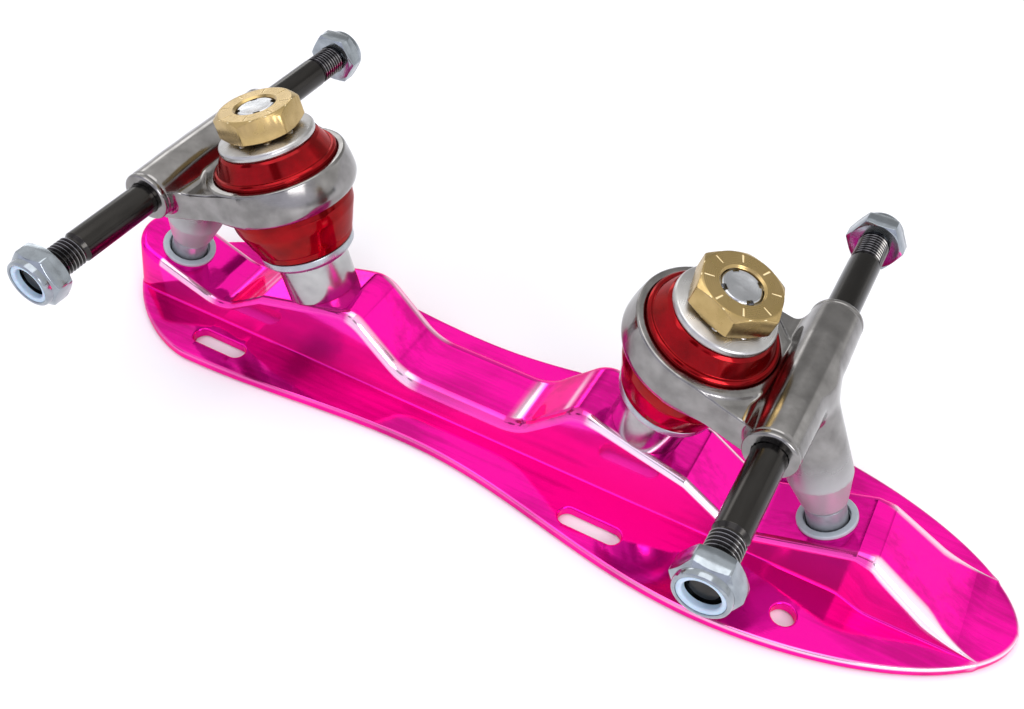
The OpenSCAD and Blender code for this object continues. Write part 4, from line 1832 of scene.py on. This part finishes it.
@dataclass
class Hanger:
    """The cast hanger: a cushion ring, an axle tube and a pivot arm, blended into one."""

    voxel: float = 0.36
    grid_x: Point = (36.0, 108.0)
    grid_z: Point = (14.0, 72.0)
    grid_over: float = 2.0
    settle_steps: int = 3
    settle_mm: float = 0.1
    ring_rim_r: float = 18.0
    ring_belly_r: float = 19.0
    ring_belly_at: float = 0.3
    ring_under: float = 1.2
    ring_power: float = 1.6
    seat_over: Point = (4.0, 6.0)
    seat_corner_r: float = 0.3
    seat_rim_r: float = 0.5
    kingpin_hole_r: float = 6.6
    web_half: float = 19.0
    web_in: float = 0.4
    web_rise: float = 1.2
    web_drop: float = 0.6
    tube_end_r: float = 6.35
    tube_mid_r: float = 6.6
    tube_edge_r: float = 0.8
    taper_start: float = 11.0
    taper_stop: float = 2.0
    groove_in: float = 1.6
    groove_w: float = 0.3
    groove_depth: float = 0.15
    bore_r: float = 4.03
    arm_foot_r: float = 5.4
    arm_top_r: float = 7.8
    arm_flare: float = 9.5
    arm_edge_r: float = 1.2
    pin_hole_r: float = 3.53
    pin_hole_top: float = 15.1
    blend_r: float = 3.2
    ring_blend_r: float = 2.0
    edge_r: float = 0.6
    satin_along: Point = (15.0, 24.0)
    satin_aside: Point = (9.0, 12.0)

    @staticmethod
    def either(a: np.ndarray, b: np.ndarray, blend: float) -> np.ndarray:
        """Joins two solids, given as distances, with a fillet."""
        share = np.clip(0.5 + 0.5 * (b - a) / blend, 0, 1)
        return b + (a - b) * share - blend * share * (1 - share)

    @classmethod
    def both(cls, blend: float, *fields: np.ndarray) -> np.ndarray:
        """Keeps what several solids share.

        Args:
            blend: rounding of the edges between them.
            fields: the solids, given as distances.

        Returns:
            The distance to what they share.
        """
        whole = fields[0]
        for other in fields[1:]:
            whole = -cls.either(-whole, -other, blend)
        return whole

    @staticmethod
    def local(points: np.ndarray, place: Matrix) -> tuple[np.ndarray, np.ndarray, np.ndarray]:
        """Gives points in another frame.

        Args:
            points: the points, in millimetres.
            place: the frame.

        Returns:
            Their places along the frame's three axes.
        """
        back = np.array(place.inverted()).astype(points.dtype)
        moved = points @ back[:3, :3].T + back[:3, 3]
        return moved[..., 0], moved[..., 1], moved[..., 2]

    def ring_radius(self, s: np.ndarray) -> np.ndarray:
        """Outside radius of the ring, which has a low belly.

        Args:
            s: heights on the kingpin.

        Returns:
            The radius at each height.
        """
        middle = LAYOUT.ring_low + self.ring_belly_at * LAYOUT.ring_h
        under = np.clip((middle - s) / (middle - LAYOUT.ring_low), 0, 1.5)
        over = np.clip((s - middle) / (LAYOUT.ring_top - middle), 0, 1.5)
        taper = (self.ring_belly_r - self.ring_rim_r) * over**self.ring_power
        return self.ring_belly_r - self.ring_under * under**2 - taper

    def field(self, points: np.ndarray) -> np.ndarray:
        """Distance to the hanger's surface, below zero inside.

        Args:
            points: points on the front truck, in millimetres.

        Returns:
            The distance at each point.
        """
        u, v, s = self.local(points, LAYOUT.kingpin_frame())
        r = np.hypot(u, v)
        low, top = LAYOUT.ring_low, LAYOUT.ring_top
        ring = self.both(self.edge_r, r - self.ring_radius(s), low - s, s - top)
        lean = math.radians(LAYOUT.kingpin_angle)
        reach = LAYOUT.kingpin_inset / math.cos(lean) - low * math.tan(lean)
        narrow = self.ring_rim_r - self.web_in
        sides = np.abs(v) - narrow - (self.web_half - narrow) * np.clip(u / reach, 0, 1)
        web = self.both(
            self.edge_r, sides, low + self.web_rise - s, s - top + self.web_drop, -u, u - reach
        )
        x, y, z = points[..., 0], np.abs(points[..., 1]), points[..., 2]
        off = np.hypot(x - LAYOUT.axle_x, z - LAYOUT.axle_height)
        half, foot, knee = LAYOUT.tube_half, LAYOUT.arm_foot, LAYOUT.arm_foot + self.arm_flare
        taper = np.clip((y - self.taper_start) / (half - self.taper_stop - self.taper_start), 0, 1)
        groove = self.groove_depth * np.exp(-(((y - half + self.groove_in) / self.groove_w) ** 2))
        tube_r = self.tube_mid_r + (self.tube_end_r - self.tube_mid_r) * taper - groove
        tube = self.both(self.tube_edge_r, off - tube_r, y - half)
        a, b, w = self.local(points, LAYOUT.pivot_frame())
        places = (foot, knee, LAYOUT.pivot_reach)
        arm_r = np.interp(w, places, (self.arm_foot_r, self.arm_top_r, self.tube_end_r))
        arm = self.both(self.arm_edge_r, np.hypot(a, b) - arm_r, foot - w, w - LAYOUT.pivot_reach)
        solid = self.either(tube, arm, self.blend_r)
        solid = self.either(solid, web, self.blend_r)
        solid = self.either(solid, ring, self.ring_blend_r)
        seat, corner = r - LAYOUT.seat_r, self.seat_corner_r
        under = self.both(corner, seat, s - LAYOUT.shelf_low, low - self.seat_over[0] - s)
        over = self.both(corner, seat, LAYOUT.shelf_top - s, s - top - self.seat_over[1])
        solid = self.both(self.seat_rim_r, solid, -under, -over)
        pin = np.maximum(np.hypot(a, b) - self.pin_hole_r, w - self.pin_hole_top)
        return np.maximum.reduce((solid, self.kingpin_hole_r - r, self.bore_r - off, -pin))

    def mesh(self) -> tuple[np.ndarray, np.ndarray, np.ndarray]:
        """Makes the front hanger's surface.

        Returns:
            Its points in millimetres, its faces, and the way out at each point.
        """
        half = LAYOUT.tube_half + self.grid_over
        spans = (self.grid_x, (-half, half), self.grid_z)
        axes = [np.arange(low, high, self.voxel) for low, high in spans]
        grid = np.stack(np.meshgrid(*axes, indexing="ij"), axis=-1).astype(np.float32)
        volume = openvdb.FloatGrid(1.0)
        volume.copyFromArray(self.field(grid).astype(np.float32))
        cells, faces = volume.convertToQuads(0.0)
        points = np.array([low for low, _ in spans]) + cells.astype(float) * self.voxel
        for _ in range(self.settle_steps):
            slope = self.slope(points)
            size = np.maximum(TINY, (slope**2).sum(axis=1, keepdims=True))
            step = np.clip(self.field(points)[:, None] / size, -self.settle_mm, self.settle_mm)
            points -= step * slope
        slope = self.slope(points)
        return points, faces, slope / np.linalg.norm(slope, axis=1, keepdims=True)

    def slope(self, points: np.ndarray, step: float = 0.04) -> np.ndarray:
        """Direction in which the distance grows.

        Args:
            points: points on the front truck, in millimetres.
            step: how far apart the distance is looked up.

        Returns:
            The direction at each point.
        """
        rows = []
        for axis in np.eye(3) * step:
            rows.append((self.field(points + axis) - self.field(points - axis)) / (2 * step))
        return np.stack(rows, axis=1)

    def build(self) -> None:
        """Makes both hangers and dresses them."""
        points, faces, outward = self.mesh()
        # The arm's foot is marked as a rougher, less metallic satin whose lighter colour also paints in a
        # highlight
        a, b, w = self.local(points, LAYOUT.pivot_frame())
        satin = np.interp(w, self.satin_along, (1, 0))
        satin *= np.interp(np.hypot(a, b), self.satin_aside, (1, 0))
        for end in End:
            flip = np.array((end.value, 1, 1))
            name = f"{end.word}_hanger"
            mesh = bpy.data.meshes.new(name)
            mesh.from_pydata(points * flip * MM, [], faces[:, :: end.value])
            way = (outward * flip).astype(np.float32)
            first = mesh.polygons[0]
            if first.normal @ Vector(way[first.vertices[0]]) < 0:
                mesh.flip_normals()
            mesh.polygons.foreach_set("use_smooth", [True] * len(mesh.polygons))
            mesh.normals_split_custom_set_from_vertices(way)
            mark_points(mesh, HIGHLIGHT_MARK, satin.astype(np.float32))
            finish = CASTING.material(turned_about(LAYOUT.axle_frame(Side.LEFT), end))
            add_piece(f"{name}_cast", mesh, finish, f"{end.word}_truck", name, sharp_deg=0)


@dataclass
class Pivot:
    """The round-ended pin under one hanger and the socket that it rocks in."""

    end: End
    ball_r: float = 5.0
    ball_down: float = 1.5
    ball_gap: float = 0.3
    ball_steps: int = 15
    mouth_gap: float = 0.3
    arm_gap: float = 0.05
    shank_r: float = 3.5
    shank_len: float = 10.1
    rim_r: float = 7.4
    rim_t: float = 1.0
    body_r: float = 6.5
    depth: float = 8.0

    def round_end(self, radius: float) -> list[Corner]:
        """Corners of a quarter circle about the ball's centre, from the lowest one up."""
        turns, middle = quarter_turn(self.ball_steps), -self.ball_down
        return [(radius * math.sin(a), middle - radius * math.cos(a), 0) for a in turns]

    def build(self) -> None:
        """Makes the pin and its socket."""
        place = at_end(LAYOUT.pivot_frame(), self.end)
        texture = turned_about(LAYOUT.pivot_frame(), self.end)
        r, shank, inner = self.ball_r, self.shank_r, self.ball_r + self.ball_gap
        foot, top = LAYOUT.arm_foot - self.arm_gap, LAYOUT.arm_foot + self.shank_len
        pin = [*self.round_end(r), (r, foot, 0.3), (shank, foot, 0), (shank, top, 0.2), (0, top, 0)]
        name = f"{self.end.word}_pivot_pin"
        mesh = placed(turned(name, pin, closed=False), place)
        finish = PIN_STEEL.material(texture)
        add_piece(f"{name}_ground", mesh, finish, f"{self.end.word}_truck", name)
        mouth = inner + self.mouth_gap
        cup = [
            (0, -self.depth, 0), (self.body_r, -self.depth, 0.3), (self.body_r, -self.rim_t, 0),
            (self.rim_r, -self.rim_t, 0.1), (self.rim_r, 0, 0.35), (mouth, 0, 0.3),
            (mouth, -self.ball_down, 0), *reversed(self.round_end(inner)),
        ]
        name = f"{self.end.word}_pivot_cup"
        mesh = placed(turned(name, cup, closed=False), place)
        finish = CUP_PLASTIC.material(texture)
        add_piece(f"{name}_moulded", mesh, finish, "plate_body", name)


@dataclass
class AxleSet:
    """One axle with its threads, lock nuts and nylon inserts."""

    end: End
    axle_r: float = 4.0
    shank_len: float = 23.0
    thread_show: float = 8.4
    thread_pitch: float = 1.0
    thread_depth: float = 0.5
    thread_in: float = 0.1
    thread_lead: float = 0.7
    thread_stop: float = 0.5
    nut_gap: float = 0.03
    nut_af: float = 13.0
    nut_h: float = 7.0
    nut_hex_h: float = 5.2
    axle_short: float = 2.2
    insert_t: float = 1.6
    insert_r: float = 5.1
    insert_down: float = 0.3
    insert_bite: float = 0.07
    insert_gap: float = 0.02
    insert_lift: float = 0.01
    hex_turn: float = 0.0
    nut_segments: int = 144
    insert_segments: int = 72

    @property
    def body(self) -> str:
        """The moving body that the axle belongs to."""
        return f"{self.end.word}_truck"

    @property
    def texture_place(self) -> Matrix:
        """Frame for marks along the axle, in millimetres."""
        return turned_about(LAYOUT.axle_frame(Side.LEFT), self.end)

    @property
    def thread_start(self) -> float:
        """Place of the thread's inner end from the axle's middle."""
        return LAYOUT.tube_half + self.shank_len

    @property
    def nut_start(self) -> float:
        """Place of the nuts' inner faces from the axle's middle."""
        return self.thread_start + self.thread_show

    def build_axle(self) -> None:
        """Makes the axle with a cut thread at each end."""
        end = self.nut_start + self.nut_h - self.axle_short
        core, start = self.axle_r - self.thread_depth - self.thread_in, self.thread_start
        half = [(self.axle_r, start - 0.5, 0.3), (core, start + 0.5, 0.1), (core, end - 0.4, 0.2)]
        corners = [(0, -end, 0), (core - 0.4, -end, 0)]
        corners += [(r, -z, c) for r, z, c in reversed(half)] + half
        corners += [(core - 0.4, end, 0), (0, end, 0)]
        # The thread's crests are lighter, partly rubbed bare and partly painted highlight
        finish, lightened = (metal.material(self.texture_place) for metal in (BLACK_OXIDE, THREAD_CREST_WEAR_AND_HIGHLIGHT))
        name = f"{self.end.word}_axle"
        rod = turned(name, corners, closed=False)
        parts = [placed(rod, at_end(LAYOUT.axle_frame(Side.LEFT), self.end))]
        first = start + self.thread_lead
        length = end - self.thread_stop - first
        sizes = {"turns": length / self.thread_pitch, "radius": core, "length": length}
        for side in Side:
            thread = thread_tree().mesh("thread", finish, depth=self.thread_depth, **sizes)
            thread.transform(Matrix.Translation((0, 0, first)))
            thread.polygons.foreach_set("material_index", [1] * len(thread.polygons))
            parts.append(placed(thread, at_end(LAYOUT.axle_frame(side), self.end)))
        rod = joined(name, parts)
        add_piece(
            f"{name}_threaded", rod, finish, self.body, name, sharp_deg=35, second=lightened
        )

    def build_nut(self, side: Side) -> None:
        """Makes one lock nut and its insert.

        Args:
            side: the end of the axle that it is on.
        """
        flat, bore, low = self.nut_af / 2, self.axle_r + self.nut_gap, self.nut_start
        shoulder, top = low + self.nut_hex_h, low + self.nut_h
        seat = top - self.insert_t - self.insert_down

        def rows(angle: float) -> list[Point]:
            """Draws the nut's section.

            Args:
                angle: the angle about the axle, in radians.

            Returns:
                Points of radius and height of a chamfered hexagon under a crimped collar.
            """
            r = hexagon_radius(angle, self.nut_af, self.hex_turn)
            under = low + 0.7 * max(0.0, r - flat + 0.1) / 1.3
            over = shoulder - 0.9 * max(0.0, r - flat + 0.3) / 1.5
            return [
                (bore, low), (flat - 0.4, low), (flat - 0.1, low + 0.06),
                (r - 0.06, under + 0.02), (r, under + 0.15), (r, over - 0.15), (r - 0.08, over),
                (flat - 0.2, shoulder - 0.06), (flat - 0.42, shoulder + 0.1), (flat - 0.42, top - 0.75),
                (flat - 0.6, top - 0.25), (flat - 0.85, top - 0.05), (flat - 1.05, top),
                (flat - 1.25, top - 0.06), (self.insert_r, top - 0.2), (self.insert_r, seat), (bore, seat),
            ]

        place = at_end(LAYOUT.axle_frame(side), self.end)
        name = f"{self.end.word}_nut_{side.word}"
        mesh = placed(polar_mesh(name, rows, even_angles(self.nut_segments), closed=True), place)
        finish = NUT_ZINC.material(self.texture_place)
        add_piece(f"{name}_plated", mesh, finish, self.body, name, sharp_deg=30)
        inner, outer = self.axle_r - self.insert_bite, self.insert_r - self.insert_gap
        low, lip = seat + self.insert_lift, seat + self.insert_t
        corners = [(inner, low, 0), (outer, low, 0), (outer, lip, 0.15), (inner, lip, 0.5)]
        name = f"{self.end.word}_insert_{side.word}"
        mesh = placed(turned(name, corners, segments=self.insert_segments), place)
        add_piece(f"{name}_moulded", mesh, NYLON.material(self.texture_place), self.body, name)

    def build(self) -> None:
        """Makes the axle and what is on it."""
        self.build_axle()
        for side in Side:
            self.build_nut(side)


# Studio

@dataclass(frozen=True)
class Lamp:
    """A soft square lamp that points at the object."""

    name: str
    place: Vector
    size: float
    watts: float

    def build(self, aim: Vector) -> None:
        """Adds the lamp.

        Args:
            aim: what it points at.
        """
        light = bpy.data.lights.new(self.name, "AREA")
        light.shape = "SQUARE"
        light.size = self.size
        light.energy = self.watts
        lamp = bpy.data.objects.new(self.name, light)
        lamp.location = self.place
        lamp.rotation_euler = (aim - self.place).to_track_quat("-Z", "Y").to_euler()
        bpy.context.scene.collection.objects.link(lamp)


@dataclass(frozen=True)
class Card:
    """A soft-edged card in the room, which shows in the polished metal."""

    toward: Colour
    inner_deg: float
    outer_deg: float
    level: float


LAMPS = (
    Lamp("overhead softbox", Vector((-0.1, 0.0, 1.2)), 0.95, 4.2),
    Lamp("window", Vector((0.72, -0.45, 0.45)), 0.42, 3.2),
)
CARDS = (
    Card((0.0, 0.8, -0.6), 77, 85, 0.5),
    Card((0.72, 0.61, 0.34), 9, 13, 1.1),
    Card((-0.75, 0.62, 0.24), 8, 14, 3.0),
    Card((0.03, -0.6, 0.8), 6, 8, 0.05),
    Card((-0.66, -0.42, 0.62), 6, 10, 0.1),
    Card((-0.5, -0.5, 0.7), 2, 5, 0.3),
    Card((0.34, -0.62, 0.6), 6, 11, 0.2),
)


@dataclass
class Studio:
    """Pale floor, soft light and the camera at the photograph's angle."""

    image_px: tuple[int, int] = (1024, 709)
    focal_px: float = 1086.5
    middle_px: tuple[float, float] = (541.5, 359.2)
    eye_mm: Spot = (99.02, -176.10, 224.09)
    aim_mm: Spot = (17.19, 3.07, 25.0)
    roll_deg: float = 4.496
    sensor_mm: float = 36.0
    floor_gap_mm: float = 0.2
    floor_half: float = 3.0
    floor_colour: Colour = (0.92, 0.92, 0.92)
    lamp_aim: Spot = (0.02, 0.0, 0.03)
    room_level: float = 0.98
    cloud_scale: float = 4.0
    cloud_depth: float = 0.1
    near_tint: Colour = (0.98, 0.99, 1.15)
    tint_range: Point = (-0.4, 0.2)
    horizon_deg: Point = (9.0, 14.0)

    def build_camera(self) -> None:
        """Adds the camera and makes it the scene's own."""
        eye, aim = (Vector(p) * MM for p in (self.eye_mm, self.aim_mm))
        ahead = (aim - eye).normalized()
        level = ahead.cross(Vector((0, 0, 1))).normalized()
        right = Matrix.Rotation(-math.radians(self.roll_deg), 3, ahead) @ level
        up = right.cross(ahead)
        data = bpy.data.cameras.new("photo camera")
        data.sensor_fit = "HORIZONTAL"
        data.sensor_width = self.sensor_mm
        width, height = self.image_px
        data.lens = self.focal_px * self.sensor_mm / width
        data.shift_x = (width / 2 - self.middle_px[0]) / width
        data.shift_y = (self.middle_px[1] - height / 2) / width
        data.clip_start = 0.01
        camera = bpy.data.objects.new("photo camera", data)
        camera.matrix_world = Matrix.Translation(eye) @ Matrix((right, up, -ahead)).transposed().to_4x4()
        bpy.context.scene.collection.objects.link(camera)
        bpy.context.scene.camera = camera

    def build_floor(self) -> None:
        """Adds the wide pale floor that the plate lies on."""
        half, z = self.floor_half, -self.floor_gap_mm * MM
        corners = [(-half, -half, z), (half, -half, z), (half, half, z), (-half, half, z)]
        mesh = bpy.data.meshes.new("floor")
        mesh.from_pydata(corners, [], [(0, 1, 2, 3)])
        sketch = ShaderSketch("pale floor")
        sketch.surface.inputs["Base Color"].default_value = (*self.floor_colour, 1)
        sketch.surface.inputs["Roughness"].default_value = 0.9
        sketch.surface.inputs["Specular IOR Level"].default_value = 0.1
        mesh.materials.append(sketch.material)
        scene_object("floor", mesh)

    def with_card(
        self, room: NodeSketch, card: Card, way: NodeSocket, clouds: NodeSocket, level: NodeSocket
    ) -> NodeSocket:
        """Adds a card to the room's light.

        Args:
            room: the world's node tree.
            card: the card.
            way: the way that is looked.
            clouds: the pattern that makes the card's edge ragged.
            level: the light without the card.

        Returns:
            The socket that holds the light with the card.
        """
        nearness = room.add("ShaderNodeVectorMath", operation="DOT_PRODUCT")
        nearness.inputs[1].default_value = Vector(card.toward).normalized()
        room.join(way, nearness.inputs[0])
        angle = room.add("ShaderNodeMath", operation="ARCCOSINE")
        room.join(nearness.outputs["Value"], angle.inputs[0])
        share = room.add("ShaderNodeMapRange", interpolation_type="SMOOTHSTEP", to_min=1, to_max=0)
        share.inputs["From Min"].default_value = math.radians(card.inner_deg) + self.cloud_depth / 2
        share.inputs["From Max"].default_value = math.radians(card.outer_deg) + self.cloud_depth / 2
        ragged = room.summed(clouds, self.cloud_depth, angle.outputs["Value"])
        room.join(ragged, share.inputs["Value"])
        mix = room.add("ShaderNodeMix", b=card.level)
        room.join(share.outputs["Result"], mix.inputs["Factor"])
        room.join(level, mix.inputs["A"])
        return mix.outputs["Result"]

    def build_world(self) -> None:
        """Lights the room evenly, but for the cards that the polished metal mirrors."""
        world = bpy.data.worlds.new("studio")
        world.use_nodes = True
        room = NodeSketch(world.node_tree)
        light = room.tree.nodes["Background"].inputs
        way = room.add("ShaderNodeTexCoord").outputs["Generated"]
        clouds = room.add("ShaderNodeTexNoise", scale=self.cloud_scale)
        room.join(way, clouds.inputs["Vector"])
        level = room.add("ShaderNodeValue").outputs["Value"]
        level.default_value = self.room_level
        for card in CARDS:
            level = self.with_card(room, card, way, clouds.outputs["Fac"], level)
        split = room.add("ShaderNodeSeparateXYZ")
        room.join(way, split.inputs["Vector"])
        low, high = (math.sin(math.radians(angle)) for angle in self.horizon_deg)
        backdrop = room.add("ShaderNodeMix", a=self.room_level)
        room.join(room.ranged(split.outputs["Z"], 0.0, 1.0, low, high), backdrop.inputs["Factor"])
        room.join(level, backdrop.inputs["B"])
        room.join(backdrop.outputs["Result"], light["Strength"])
        far = room.ranged(split.outputs["Y"], 0.0, 1.0, *self.tint_range)
        room.join(room.blended(far, self.near_tint, (1, 1, 1)), light["Color"])
        bpy.context.scene.world = world

    def build(self) -> None:
        """Sets up the whole studio."""
        bpy.context.scene.view_settings.view_transform = "Standard"
        self.build_camera()
        self.build_floor()
        self.build_world()
        for lamp in LAMPS:
            lamp.build(Vector(self.lamp_aim))


def main() -> None:
    """Builds the plate, both trucks and the studio."""
    logging.basicConfig(level=logging.INFO, format="%(message)s")
    Studio().build()
    FootPlate().build()
    KingpinStack(End.FRONT, hex_turn=43).build()
    KingpinStack(End.REAR, hex_turn=15).build()
    Hanger().build()
    for end in End:
        Pivot(end).build()
        AxleSet(end).build()


if __name__ == "__main__":
    main()
